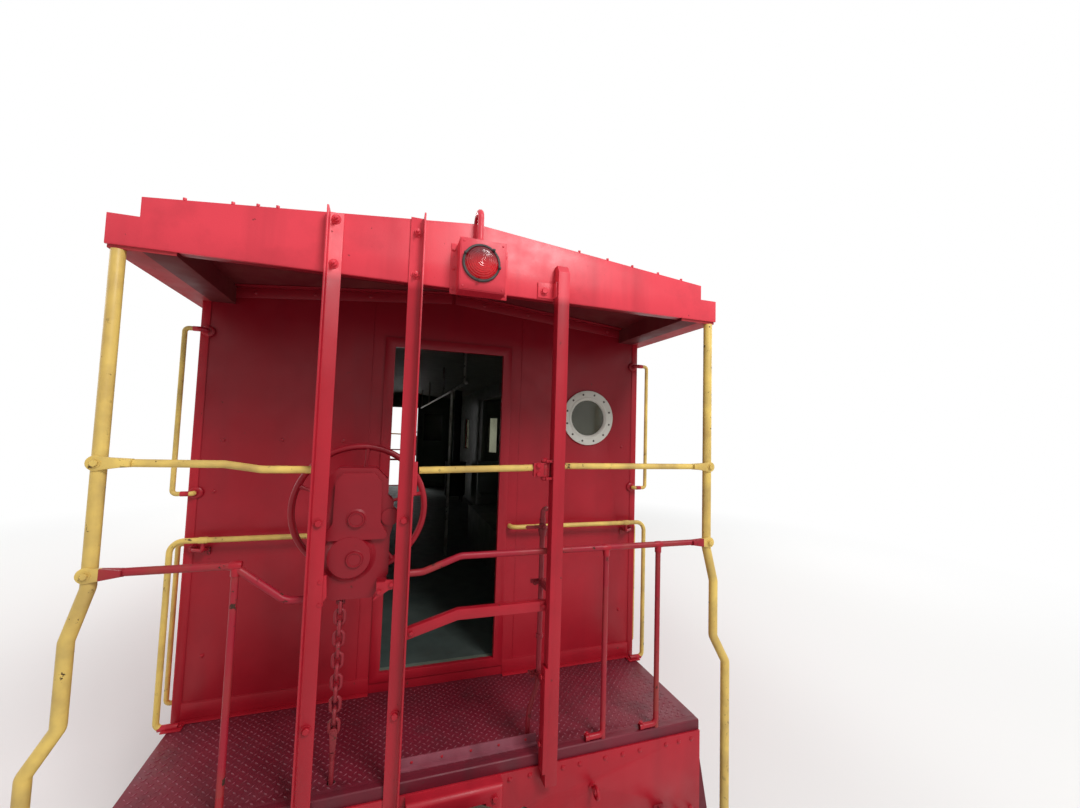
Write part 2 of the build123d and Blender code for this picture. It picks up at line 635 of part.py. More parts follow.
def eave_return():
    """Box that closes the eave beside each platform, both sides."""
    outline = [(EAVE_RETURN, EAVE_BOTTOM), (HALF_WIDE, EAVE_BOTTOM),
               (HALF_WIDE, under(HALF_WIDE)), (EAVE_RETURN, under(EAVE_RETURN))]
    return both_sides(prism("yz", outline, 0, PLATFORM - FASCIA_THICK))


def grab_irons():
    """Corner irons, low wrap-round rails and side irons of one end."""
    foot, door_side = DECK_HALF - 30, HOLE_HALF + TRIM_WIDE + 20
    stand, wrap = 62, HALF_WIDE + WRAP_RAIL_OUT
    low = pipe([(0, door_side, WRAP_RAIL_Z), (stand, door_side, WRAP_RAIL_Z), (stand, wrap, WRAP_RAIL_Z),
                (stand, wrap, WRAP_RAIL_R), (stand, foot, WRAP_RAIL_R)], WRAP_RAIL_R, WRAP_BENDS)
    tee = HALF_WIDE - WRAP_TEE_IN
    low += rod((stand, tee, WRAP_RAIL_Z), (stand, tee, WRAP_RAIL_Z - 52), 8)
    low += slab((0, stand), (tee - 9, tee + 9), (WRAP_RAIL_Z - 62, WRAP_RAIL_Z - 50))
    low += slab((0, 8), (tee - 18, tee + 18), (WRAP_RAIL_Z - 88, WRAP_RAIL_Z - 50))
    near, far = HALF_WIDE - CORNER_IRON_IN, HALF_WIDE + CORNER_IRON_OUT
    corner = pipe([(0, near, CORNER_IRON_HIGH), (45, near, CORNER_IRON_HIGH), (45, far, CORNER_IRON_HIGH),
                   (45, far, CORNER_IRON_LOW), (45, near, CORNER_IRON_LOW), (0, near, CORNER_IRON_LOW)],
                  IRON_R, 20)
    far = HALF_WIDE + 68
    side = pipe([(SIDE_IRON_X, HALF_WIDE, SIDE_IRON_HIGH), (SIDE_IRON_X, far, SIDE_IRON_HIGH),
                 (SIDE_IRON_X, far, SIDE_IRON_LOW), (SIDE_IRON_X, HALF_WIDE, SIDE_IRON_LOW)],
                IRON_R, 20)
    return both_sides(low + corner + side)


def marker_lamp():
    """Flanged lamp box on the fascia with its bezel and conduit over the roof."""
    box = slab((PLATFORM, PLATFORM + LAMP_DEEP), LAMP_SPAN, LAMP_RISE)
    box += slab((PLATFORM, PLATFORM + 4), (LAMP_SPAN[0] - 30, LAMP_SPAN[1] + 30), LAMP_RISE)
    face = PLATFORM + LAMP_DEEP
    box += ring("x", (LENS_Y, LENS_Z), LENS_R + 8, LENS_R, face, face + 12)
    conduit = pipe([(PLATFORM + 45, LENS_Y, LAMP_RISE[1]), (PLATFORM + 45, LENS_Y, 2612),
                    (PLATFORM - 70, LENS_Y, 2612), (PLATFORM - 70, LENS_Y, RIDGE_TOP)], 15, 45)
    return box + conduit


def marker_lens():
    """Domed red lens seated in the bezel."""
    face = PLATFORM + LAMP_DEEP
    radius = (LENS_R ** 2 + LENS_DOME ** 2) / (2 * LENS_DOME)
    centre, turn = LENS_RIM + LENS_DOME - radius, math.asin(LENS_R / radius) / 2
    edges = [
        Line((0, 0), (0, LENS_R)), Line((0, LENS_R), (LENS_RIM, LENS_R)),
        ThreePointArc((LENS_RIM, LENS_R),
                      (centre + radius * math.cos(turn), radius * math.sin(turn)),
                      (LENS_RIM + LENS_DOME, 0)),
        Line((LENS_RIM + LENS_DOME, 0), (0, 0)),
    ]
    return Pos(face, LENS_Y, LENS_Z) * revolve(make_face(edges), Axis.X)


def brake_chain():
    """Links hanging crosswise in each other from the housing to a clevis, and the rod below."""
    x, top = (BRAKE_BACK + BRAKE_FRONT) / 2, BRAKE_LOW - LINK_WIRE - LINK_CLEAR
    pitch = (BRAKE_LOW - CLEVIS_Z) / CHAIN_LINKS
    cut, half = (pitch - LINK_BITE) / 2, LINK_WIRE / 2
    straight = 2 * (cut - LINK_INNER)
    side = straight / 2 + half
    corners = [(half, cut), (LINK_INNER, side), (LINK_INNER, -side), (half, -cut)]
    hole = make_face(Polyline(*mirrored(corners), close=True))
    face = Rot(0, 0, 90) * SlotCenterToCenter(straight, 2 * (LINK_INNER + LINK_WIRE)) - hole
    link = Rot(90, 0, 0) * extrude(face, half, both=True)
    made = Pos(x, CHAIN_Y, top - pitch / 2) * link
    for index in range(1, CHAIN_LINKS):
        made += Pos(x, CHAIN_Y, top - pitch * (index + 0.5)) * Rot(0, 0, 90 * (index % 2)) * link
    eye = cut - CHAIN_PIN_R + 0.5
    upper, lower = top - pitch / 2 + eye, top - pitch * (CHAIN_LINKS - 0.5) - eye
    made += rod((x, CHAIN_Y - 14, upper), (x, CHAIN_Y + 14, upper), CHAIN_PIN_R)
    made += rod((x - 14, CHAIN_Y, lower), (x + 14, CHAIN_Y, lower), CHAIN_PIN_R)
    for side in (-1, 1):
        near, far = sorted((side * 8, side * 14))
        made += slab((x - 12, x + 12), (CHAIN_Y + near, CHAIN_Y + far), (upper - 12, BRAKE_LOW))
        made += slab((x + near, x + far), (CHAIN_Y - 12, CHAIN_Y + 12), (lower - 32, lower + 12))
    made += slab((x - 14, x + 14), (CHAIN_Y - 12, CHAIN_Y + 12), (lower - 40, lower - 28))
    made += rod((x, CHAIN_Y, lower - 36), (x, CHAIN_Y, -150), 10)
    return made


def air_pipe():
    """Valve pipe with a gooseneck beside the gate post, clamped to it twice."""
    x, foot, up = AIR_X, AIR_FOOT, AIR_FOOT + 56
    made = pipe([(x, foot, -150), (x, foot, 130), (x, up, 260), (x, up, 1152),
                 (x, up + 62, 1152), (x, up + 62, 1105)], AIR_R, 24)
    made += disc("z", (x, up), 26, 1030, 1085)
    made += slab((x - 6, x + 6), (up - AIR_HANDLE, up), (1052, 1070))
    for z in (315, 776):
        made += slab((x, PLATFORM), (GATE_POST_LOW + 6, GATE_POST_LOW + 34), (z - 14, z + 14))
    return made


def train_pipe():
    """End of the train line through the sill, with its cock and a hanger on the centre sill."""
    y, z, front = TRAIN_PIPE_Y, TRAIN_PIPE_Z, PLATFORM + TRAIN_PIPE_REACH
    made = disc("x", (y, z), TRAIN_PIPE_R, TRAIN_PIPE_BACK, front)
    made += disc("x", (y, z), TRAIN_COCK_R, PLATFORM + TRAIN_COCK[0], PLATFORM + TRAIN_COCK[1])
    made += disc("z", (PLATFORM + 40, y), 15, z, z + 48)
    made += slab((PLATFORM + 12, PLATFORM + 52), (y - 12, y + 12), (z + 44, z + 54))
    clip_x, clip_y = (TRAIN_PIPE_BACK + 40, TRAIN_PIPE_BACK + 70), (SILL_HALF, y + TRAIN_PIPE_R + 8)
    made += slab(clip_x, clip_y, (z - 6, z + 6))
    return made + disc("x", (y, z), TRAIN_PIPE_R + 8, TRAIN_PIPE_BACK + 40, TRAIN_PIPE_BACK + 70)


def cut_lever():
    """Uncoupling rod along the end sill on two brackets, its lifting arm and handle."""
    made = pipe([(LEVER_X + 125, 40, LEVER_Z), (LEVER_X, 40, LEVER_Z), (LEVER_X, DECK_HALF - 190, LEVER_Z),
                 (LEVER_X + 30, DECK_HALF - 90, LEVER_Z - 150)], LEVER_R, 40)
    for y in (260, DECK_HALF - 260):
        made += slab((PLATFORM, LEVER_X + 20), (y - 6, y + 6), (LEVER_Z - 26, LEVER_Z + 26))
        made += slab((PLATFORM, PLATFORM + 6), (y - 30, y + 30), (LEVER_Z - 26, LEVER_Z + 26))
    return made


def gate_bar():
    """Top bar of the gateway with its hinge barrel and strap."""
    x, y, middle = PLATFORM + GATE_PIN_X, GATE_POST_LOW - GATE_PIN_Y, TOP_RAIL_Z - GATE_HINGE_DROP
    low, high = middle - GATE_LEAF_HALF, middle + GATE_LEAF_HALF
    bar = rod((x, y, TOP_RAIL_Z - 4), (x, GATE_TIP, TOP_RAIL_Z - GATE_DROOP), RAIL_R)
    bar += slab((x + 4, x + 6 + RAIL_R), (y - 62, y - 12), (low, high))
    bar += disc("z", (x, y), 20, low, high)
    return bar - disc("z", (x, y), GATE_PIN_R + PIN_FIT, low - 5, high + 5)


def coupler():
    """Shank with a rounded tail, head with guard arm and knuckle lugs."""
    pin_x = PLATFORM - DRAFT_PIN_BACK
    face = PLATFORM + COUPLER_REACH
    kx, ky = face - KNUCKLE_BACK, KNUCKLE_SIDE
    made = slab((pin_x, PLATFORM + 130), (-SHANK_HALF_Y, SHANK_HALF_Y),
                (COUPLER_Z - SHANK_HALF_Z, COUPLER_Z + SHANK_HALF_Z))
    made += disc("z", (pin_x, 0), SHANK_HALF_Y, COUPLER_Z - SHANK_HALF_Z, COUPLER_Z + SHANK_HALF_Z)
    outline = [(face - 220, -110), (face - 207, -165), (face - 187, -165), (face - 187, -10),
               (face - 172, 20), (face - 137, 60), (face - 87, 110), (face - 37, 150),
               (face - 5, 200), (face - 17, 215), (face - 102, 195), (face - 187, 150),
               (face - 220, 100)]
    made += prism("xy", outline, COUPLER_Z - 150, COUPLER_Z + 150)
    for low in (COUPLER_Z - 147, COUPLER_Z + 105):
        lug = slab((face - 200, kx), (ky - 60, ky + 60), (low, low + 42))
        made += lug + disc("z", (kx, ky), 60, low, low + 42)
    made += disc("z", (kx, ky), KNUCKLE_PIN_R, COUPLER_Z - 147, COUPLER_Z + 165)
    return made - disc("z", (pin_x, 0), DRAFT_PIN_R + PIN_FIT, COUPLER_Z - 200, COUPLER_Z + 200)


def knuckle():
    """Hooked knuckle on its pin, closed."""
    face = PLATFORM + COUPLER_REACH
    kx, ky = face - KNUCKLE_BACK, KNUCKLE_SIDE
    outline = [(kx - 35, ky - 42), (kx + 25, ky - 57), (kx + 85, ky - 22), (kx + 108, ky + 28),
               (face, ky + 88), (kx + 100, ky + 113), (kx + 70, ky + 118), (kx + 55, ky + 98),
               (kx + 57, ky + 58), (kx + 35, ky + 38), (kx - 15, ky + 43)]
    low, high = COUPLER_Z - KNUCKLE_HALF_Z, COUPLER_Z + KNUCKLE_HALF_Z
    made = prism("xy", outline, low, high)
    for z0, z1 in ((low - 1, COUPLER_Z - 98), (COUPLER_Z + 98, high + 1)):
        made -= disc("z", (kx, ky), 68, z0, z1)
    made += disc("z", (kx, ky), 52, COUPLER_Z - 98, COUPLER_Z + 98)
    return made - disc("z", (kx, ky), KNUCKLE_PIN_R + PIN_FIT, low - 1, high + 1)


def draft_gear():
    """Block and pin inside the centre sill that hold the coupler's tail."""
    pin_x = PLATFORM - DRAFT_PIN_BACK
    inner = (FLOOR_UNDER - SILL_DEPTH + SILL_WALL, FLOOR_UNDER - SILL_WALL)
    made = slab((pin_x - 240, pin_x - 85), (-SILL_HALF + SILL_WALL, SILL_HALF - SILL_WALL), inner)
    return made + disc("z", (pin_x, 0), DRAFT_PIN_R, *inner)


# Windows of the right-hand side: x, y of the outer face, turn about Z, width
BAY_FACE = HALF_WIDE + BAY_REACH
BAY_TURN = math.degrees(math.atan2(BAY_REACH, BAY_HALF - BAY_FRONT_HALF))
BAY_END_X = (BAY_HALF + BAY_FRONT_HALF) / 2
BAY_END_Y = HALF_WIDE + BAY_REACH / 2
WALL_WINDOWS = [(x, HALF_WIDE, 0.0, wide) for x, wide in SIDE_WINDOWS]
BAY_WINDOWS = [(x, BAY_FACE, 0.0, BAY_WINDOW_WIDE) for x in BAY_FRONT_WINDOWS]
BAY_WINDOWS += [(BAY_END_X, BAY_END_Y, -BAY_TURN, BAY_END_WINDOW),
                (-BAY_END_X, BAY_END_Y, BAY_TURN, BAY_END_WINDOW)]


def at_window(window):
    """Place of a window: x along the wall, y outwards, middle of its height."""
    x, y, turn, _ = window
    return Pos(x, y, (WINDOW_BOTTOM + WINDOW_TOP) / 2) * Rot(0, 0, turn)


def window_hole(window):
    return at_window(window) * Box(window[3], 260, WINDOW_TOP - WINDOW_BOTTOM)


def window_frame(window):
    high = WINDOW_TOP - WINDOW_BOTTOM
    rim = Box(window[3] + 2 * FRAME_WIDE, FRAME_PROUD, high + 2 * FRAME_WIDE)
    rim -= Box(window[3], FRAME_PROUD + 2, high)
    return at_window(window) * (Pos(0, FRAME_PROUD / 2, 0) * rim)


def window_pane(window):
    pane = Box(window[3], GLASS, WINDOW_TOP - WINDOW_BOTTOM)
    return at_window(window) * (Pos(0, -25, 0) * pane)


def side_wall():
    """Right-hand wall with its windows and the way into the bay."""
    outline = [(INNER_WIDE, -SKIRT), (HALF_WIDE, -SKIRT), (HALF_WIDE, under(HALF_WIDE)),
               (INNER_WIDE, under(INNER_WIDE))]
    wall = prism("yz", outline, -HALF_BODY + WALL, HALF_BODY - WALL)
    for window in WALL_WINDOWS:
        wall -= window_hole(window)
    way = BAY_HALF - BAY_WALL - 25
    return wall - slab((-way, way), (INNER_WIDE - 1, HALF_WIDE + 1), (FLOOR_TOP, BAY_TOP - BAY_WALL))


def bay_plan(inset):
    """Bay outline in plan, moved inwards by inset."""
    lean = inset * math.hypot(BAY_REACH, BAY_HALF - BAY_FRONT_HALF) / BAY_REACH
    slope = (BAY_HALF - BAY_FRONT_HALF) / BAY_REACH
    reach = BAY_REACH - inset
    foot = BAY_HALF - lean
    front = foot - slope * reach
    return [(-foot, HALF_WIDE), (-front, HALF_WIDE + reach), (front, HALF_WIDE + reach),
            (foot, HALF_WIDE)]


def bay():
    """Right-hand bay: hollow box with slanted ends, windows and a sloped cap."""
    shell = prism("xy", bay_plan(0), BAY_BOTTOM, BAY_TOP)
    shell -= prism("xy", bay_plan(BAY_WALL), FLOOR_TOP, BAY_TOP - BAY_WALL)
    shell -= prism("xy", bay_plan(BAY_WALL), BAY_BOTTOM - 1, FLOOR_UNDER)
    for window in BAY_WINDOWS:
        shell -= window_hole(window)
    over = BAY_FACE + BAY_ROOF_OVER
    outline = [(HALF_WIDE, BAY_TOP), (over, BAY_TOP), (over, BAY_TOP + 12),
               (HALF_WIDE, BAY_TOP + BAY_ROOF_DROP)]
    cap = prism("yz", outline, -BAY_HALF - 60, BAY_HALF + 60)
    cap &= prism("xy", bay_plan(-BAY_ROOF_OVER), BAY_TOP, BAY_TOP + 200)
    return shell + cap


def roof():
    """Low-pitched roof over cabin and platforms, with eaves, returns and seam caps."""
    half = [(ROOF_HALF, top(ROOF_HALF)), (ROOF_HALF, EAVE_TOP), (EAVE_HALF, EAVE_TOP),
            (EAVE_HALF, EAVE_BOTTOM), (HALF_WIDE, EAVE_BOTTOM), (HALF_WIDE, under(HALF_WIDE))]
    outline = [(0, top(0))] + half + [(0, under(0))] + [(-y, z) for y, z in reversed(half)]
    reach = HALF_BODY + PLATFORM - FASCIA_THICK
    made = prism("yz", outline, -reach, reach)
    for place in (Pos(HALF_BODY, 0, 0), Rot(0, 0, 180) * Pos(HALF_BODY, 0, 0)):
        made += place * eave_return()
    cap = [(-ROOF_HALF, top(ROOF_HALF)), (0, top(0)), (ROOF_HALF, top(ROOF_HALF)),
           (ROOF_HALF, top(ROOF_HALF) + SEAM_HIGH), (0, top(0) + SEAM_HIGH),
           (-ROOF_HALF, top(ROOF_HALF) + SEAM_HIGH)]
    for index in range(SEAMS):
        x = (index - (SEAMS - 1) / 2) * SEAM_PITCH
        made += prism("yz", cap, x - SEAM_WIDE / 2, x + SEAM_WIDE / 2)
    return made - disc("z", (STOVE_X, STOVE_Y), JACK_R + 0.5, EAVE_BOTTOM, RIDGE_TOP + 20)


def smoke_jack():
    """Stove pipe through the roof with its cap, and two roof vents."""
    x, y = STOVE_X, STOVE_Y
    made = ring("z", (x, y), JACK_R, JACK_R - 8, top(y) - 20, 2830)
    flashing = ring("z", (x, y), JACK_R + 40, JACK_R - 8, top(y) - 20, top(y) + 40)
    low, high = y - 200, y + 200
    below = prism("yz", [(low, top(y) - 60), (low, top(low)), (high, top(high)), (high, top(y) - 60)],
                  x - 200, x + 200)
    made += flashing - below
    made += disc("z", (x, y), 150, 2860, 2880)
    for turn in (0, 120, 240):
        a = math.radians(turn)
        made += rod((x + 84 * math.cos(a), y + 84 * math.sin(a), 2800),
                    (x + 84 * math.cos(a), y + 84 * math.sin(a), 2862), 6)
    return made


def centre_sill():
    """Box sill end to end, with the draft gear in each end."""
    reach = HALF_BODY + PLATFORM - 12
    low = FLOOR_UNDER - SILL_DEPTH
    made = slab((-reach, reach), (-SILL_HALF, SILL_HALF), (low, FLOOR_UNDER))
    made -= slab((-reach - 1, reach + 1), (-SILL_HALF + SILL_WALL, SILL_HALF - SILL_WALL),
                 (low + SILL_WALL, FLOOR_UNDER - SILL_WALL))
    for place in (Pos(HALF_BODY, 0, 0), Rot(0, 0, 180) * Pos(HALF_BODY, 0, 0)):
        made += place * draft_gear()
    return made


def side_sills():
    """Channel-depth sills under the side walls and the cross-bearers between."""
    made = both_sides(slab((-HALF_BODY, HALF_BODY), (INNER_WIDE - SIDE_SILL_WIDE, INNER_WIDE),
                           (-SIDE_SILL_DEPTH, FLOOR_UNDER)))
    for x in CROSS_BEARERS:
        bearer = slab((x - CROSS_BEARER_WIDE / 2, x + CROSS_BEARER_WIDE / 2),
                      (SILL_HALF, INNER_WIDE - SIDE_SILL_WIDE), (-SKIRT, FLOOR_UNDER))
        made += both_sides(bearer)
    return made


def body_bolster():
    """Tapered bolster over a truck with centre plate and side-bearing blocks."""
    end = INNER_WIDE - SIDE_SILL_WIDE
    flat, low = 260.0, CENTRE_PLATE_Z - DECK_HEIGHT + 44
    half = [(flat, low), (end, -SIDE_SILL_DEPTH), (end, FLOOR_UNDER)]
    outline = [(-y, z) for y, z in reversed(half)] + half
    made = prism("yz", outline, -BOLSTER_HALF_X, BOLSTER_HALF_X)
    for side in (-1, 1):
        y = side * SIDE_BEARING_Y
        made += slab((-60, 60), (y - 60, y + 60),
                     (SIDE_BEARING_TOP + SIDE_BEARING_GAP - DECK_HEIGHT, low + 90))
    made -= slab((-BOLSTER_HALF_X - 1, BOLSTER_HALF_X + 1), (-SILL_HALF, SILL_HALF),
                 (FLOOR_UNDER - SILL_DEPTH, FLOOR_UNDER + 1))
    return made + disc("z", (0, 0), CENTRE_PLATE_R, CENTRE_PLATE_Z - DECK_HEIGHT, low)


def air_reservoir():
    """Air tank and brake cylinder on straps under the right side."""
    tank, cylinder = (HALF_WIDE - TANK_IN, -460), (-SILL_HALF - CYLINDER_OUT, -400)
    made = disc("x", tank, TANK_R, *TANK_X)
    made += disc("x", tank, TANK_R - 20, TANK_X[0] - 25, TANK_X[1] + 25)
    for x in (CROSS_BEARERS[1], CROSS_BEARERS[2]):
        made += slab((x - 30, x + 30), (tank[0] - 30, tank[0] + 30), (-300, -SKIRT))
    made += disc("x", cylinder, 130, *CYLINDER_X)
    made += disc("x", cylinder, 28, CYLINDER_X[0] - 400, CYLINDER_X[0])
    y = (cylinder[0] - 40, cylinder[0] + 40)
    return made + slab((1900, 2000), y, (-420, -SKIRT)) + slab((1790, 1990), y, (-420, -380))


def battery_box():
    """Battery and tool boxes under the left side, hinged lids outwards."""
    outer = -HALF_WIDE + BOX_IN
    made = slab(BATTERY_X, (outer, outer + 540), (-640, -SKIRT))
    made -= slab((BATTERY_X[0] + 30, BATTERY_X[1] - 30), (outer - 1, outer + 8), (-610, -250))
    return made + slab(TOOL_BOX_X, (outer, outer + 360), (-560, -SKIRT))


def cabin_fittings():
    """Bay seats, bench lockers and a tall closet, seen through doors and windows."""
    made = None
    seat_top, bench_top = FLOOR_TOP + SEAT_HIGH, FLOOR_TOP + BENCH_HIGH
    near, far = HALF_WIDE - SEAT_IN, HALF_WIDE + BAY_REACH - SEAT_OUT
    for side in (1, -1):
        x, y = side * SEAT_X, sorted((side * near, side * far))
        seat = slab((x - 200, x + 200), y, (FLOOR_TOP, seat_top))
        seat += slab((x - 200, x - 140), y, (seat_top, seat_top + 470))
        bench = slab(sorted((side * BENCH_X[0], side * BENCH_X[1])),
                     sorted((side * (INNER_WIDE - BENCH_DEEP), side * INNER_WIDE)), (FLOOR_TOP, bench_top))
        made = seat + bench if made is None else made + seat + bench
    closet_y = (-INNER_WIDE, CLOSET_DEEP - INNER_WIDE)
    return made + slab(CLOSET_X, closet_y, (FLOOR_TOP, FLOOR_TOP + CLOSET_HIGH))


def stove():
    """Cabin stove on legs with its pipe up to the roof."""
    x, y = STOVE_X, STOVE_Y
    made = disc("z", (x, y), 200, FLOOR_TOP + 120, FLOOR_TOP + 760)
    made += disc("z", (x, y), 215, FLOOR_TOP + 760, FLOOR_TOP + 790)
    made += disc("z", (x, y), JACK_R - 15, FLOOR_TOP + 790, top(y) + 150)
    for dx in (-130, 130):
        for dy in (-130, 130):
            made += disc("z", (x + dx, y + dy), 14, FLOOR_TOP, FLOOR_TOP + 130)
    return made


def cabin_rails():
    """Ceiling grab rail along the aisle with stanchion poles."""
    y, z = CABIN_RAIL_Y, FLOOR_TOP + CABIN_RAIL_HIGH
    made = rod((-CABIN_RAIL_HALF, y, z), (CABIN_RAIL_HALF, y, z), 16)
    for x in CABIN_HANGERS:
        made += rod((x, y, z), (x, y, under(y + 14)), 14)
    return made + rod((POLE_X, y, FLOOR_TOP), (POLE_X, y, z), 18)


# Truck pieces: x and y from the truck's centre, z from the plane under the flanges
def side_frame():
    """Cast frame on the right: arch, tension member, column windows, pedestals, bearings."""
    axle_x = WHEELBASE / 2
    jaw = BEARING_R + 8
    roof_z = AXLE_Z + BEARING_R + 20
    half = [(0, 690), (350, 690), (axle_x - 200, 668), (axle_x - 70, 650), (axle_x + 160, 650),
            (axle_x + 182, 625), (axle_x + 182, 405), (axle_x + jaw, 405), (axle_x + jaw, roof_z),
            (axle_x - jaw, roof_z), (axle_x - jaw, 385), (axle_x - 160, 360), (340, 200), (0, 200)]
    low, high = JOURNAL_Y - FRAME_THICK / 2, JOURNAL_Y + FRAME_THICK / 2
    frame = prism("xz", mirrored(half), low, high)
    frame -= slab((-235, 235), (low - 1, high + 1), (SPRING_SEAT, 615))
    pocket = [(310, 300), (310, 605), (axle_x - 280, 592), (axle_x - 200, 560), (axle_x - 190, 440)]
    for side in (-1, 1):
        points = [(side * x, z) for x, z in pocket]
        frame -= prism("xz", points, low - 1, high + 1)
        x = side * axle_x
        frame += slab((x - 80, x + 80), (low, high), (AXLE_Z + 60, roof_z))
        frame += disc("y", (x, AXLE_Z), BEARING_R, JOURNAL_Y - BEARING_LONG / 2,
                      JOURNAL_Y + BEARING_LONG / 2)
        frame -= disc("y", (x, AXLE_Z), JOURNAL_R + PIN_FIT, low - 50, high + 50)
    return frame


def truck_bolster():
    """Box bolster with centre bowl and side-bearing blocks."""
    reach = JOURNAL_Y + FRAME_THICK / 2 - 10
    half = [(560, 640), (reach, 585), (reach, BOLSTER_SEAT)]
    outline = half + [(-y, z) for y, z in reversed(half)]
    made = prism("yz", outline, -150, 150)
    made += ring("z", (0, 0), CENTRE_PLATE_R + 32, CENTRE_PLATE_R + 5, 640, CENTRE_PLATE_Z + 32)
    made += disc("z", (0, 0), CENTRE_PLATE_R + 32, 640, CENTRE_PLATE_Z - 0.3)
    for side in (-1, 1):
        y = side * SIDE_BEARING_Y
        made += slab((-50, 50), (y - 50, y + 50), (600, SIDE_BEARING_TOP))
    return made


def leaf_spring():
    """Full-elliptic spring of nested leaves between frame and bolster, on the right."""
    high = BOLSTER_SEAT - SPRING_SEAT
    band = LEAVES * LEAF_THICK
    rise = high / 2 - band
    radius = (LEAF_HALF ** 2 + rise ** 2) / (2 * rise)
    middle = (SPRING_SEAT + BOLSTER_SEAT) / 2
    centre = (0, middle - rise + radius)
    face = None
    for index in range(LEAVES):
        reach = LEAF_HALF - index * LEAF_STEP
        turn = math.degrees(math.asin(reach / radius))
        inner = radius + index * LEAF_THICK
        leaf = arc_strip(centre, inner, inner + LEAF_THICK, 270 - turn, 270 + turn)
        face = leaf if face is None else face + leaf
    low, wide = JOURNAL_Y - 50, 100
    lower = stand_xz(face, low, low + wide)
    lower += slab((-36, 36), (low, low + wide), (SPRING_SEAT, middle - rise + 8))
    lower &= slab((-LEAF_HALF - 20, LEAF_HALF + 20), (low, low + wide), (SPRING_SEAT, middle))
    upper = Pos(0, 0, 2 * middle) * mirror(lower, about=Plane.XY)
    return lower + upper


def brake_beam():
    """Beam across the truck with a shoe for each wheel of the outer axle."""
    axle_x = WHEELBASE / 2
    inner = WHEEL_R + SHOE_GAP
    reach = JOURNAL_Y - FRAME_THICK / 2
    made = slab((BEAM_X, BEAM_X + BEAM_DEEP), (-reach, reach), (AXLE_Z - BEAM_HALF, AXLE_Z + BEAM_HALF))
    shoe = arc_strip((axle_x, AXLE_Z), inner, inner + SHOE_THICK, 160, 200)
    for side in (-1, 1):
        low, high = sorted((side * SHOE_Y[0], side * SHOE_Y[1]))
        made += stand_xz(shoe, low, high)
        made += slab((BEAM_X + BEAM_DEEP / 2, axle_x - inner - SHOE_THICK + 8), (low, high),
                     (AXLE_Z - HEAD_HALF, AXLE_Z + HEAD_HALF))
    return made


# Wheelset half profile: distance from the car's middle, radius
WHEEL_BACK = BACK_TO_BACK / 2
WHEEL_FACE = WHEEL_BACK + WHEEL_WIDE
WHEELSET_PROFILE = [
    (0, 80), (600, 88), (WHEEL_BACK - 21, 88), (WHEEL_BACK - 21, 135), (WHEEL_BACK + 24, 142),
    (WHEEL_BACK + 46, 190), (WHEEL_BACK + 52, 300), (WHEEL_BACK + 36, 360), (WHEEL_BACK, 368),
    (WHEEL_BACK, FLANGE_R - 8), (WHEEL_BACK + 7, FLANGE_R), (WHEEL_BACK + 18, FLANGE_R),
    (WHEEL_BACK + 28, WHEEL_R + 9), (WHEEL_BACK + 36, WHEEL_R + 5), (WHEEL_FACE, WHEEL_R - 4),
    (WHEEL_FACE, 368), (WHEEL_BACK + 86, 360), (WHEEL_BACK + 74, 300), (WHEEL_BACK + 76, 190),
    (WHEEL_FACE - 26, 142), (WHEEL_FACE + 18, 135), (WHEEL_FACE + 18, 90), (WHEEL_FACE + 62, 90),
    (WHEEL_FACE + 62, JOURNAL_R),
]


def wheelset():
    """Axle, two flanged wheels and bearing caps with their bolts."""
    end = JOURNAL_Y + BEARING_LONG / 2 + 5
    half = WHEELSET_PROFILE + [(end, JOURNAL_R), (end, CAP_R), (end + 18, CAP_R), (end + 18, 0)]
    outline = [(r, y) for y, r in half] + [(r, -y) for y, r in reversed(half) if y > 0]
    made = revolve(make_face(Polyline(*outline, close=True)), Axis.Y)
    for side in (-1, 1):
        for turn in CAP_BOLTS:
            a = math.radians(turn)
            low, high = sorted((side * (end + 17), side * (end + 28)))
            made += disc("y", (50 * math.cos(a), 50 * math.sin(a)), 12, low, high)
    return made


# Pieces of one end that get a node at each end, and those whose two copies share one
END_NODES = {
    "end_wall": end_wall, "railing": railing, "hand_wheel": hand_wheel, "gate_bar": gate_bar,
    "coupler": coupler, "knuckle": knuckle,
}
PAIRED_NODES = {
    "door_frames": lambda: door_frame() + hinge_fixed(), "porthole_rings": porthole_ring,
    "fascias": fascia, "platform_decks": platform_deck, "end_sills": end_sill,
    "steps": lambda: both_sides(steps()), "ladder_stiles": ladder_stiles, "gate_posts": gate_post,
    "brake_housings": brake_housing, "brake_chains": brake_chain,
    "air_pipes": lambda: air_pipe() + train_pipe(),
    "marker_lamps": marker_lamp, "marker_lenses": marker_lens, "grab_irons": grab_irons,
    "cut_levers": cut_lever,
}
TRUCK_NODES = {
    "side_frames": lambda: both_sides(side_frame()), "truck_bolster": truck_bolster,
    "leaf_springs": lambda: both_sides(leaf_spring()),
    "brake_beams": lambda: brake_beam() + mirror(brake_beam(), about=Plane.YZ),
}


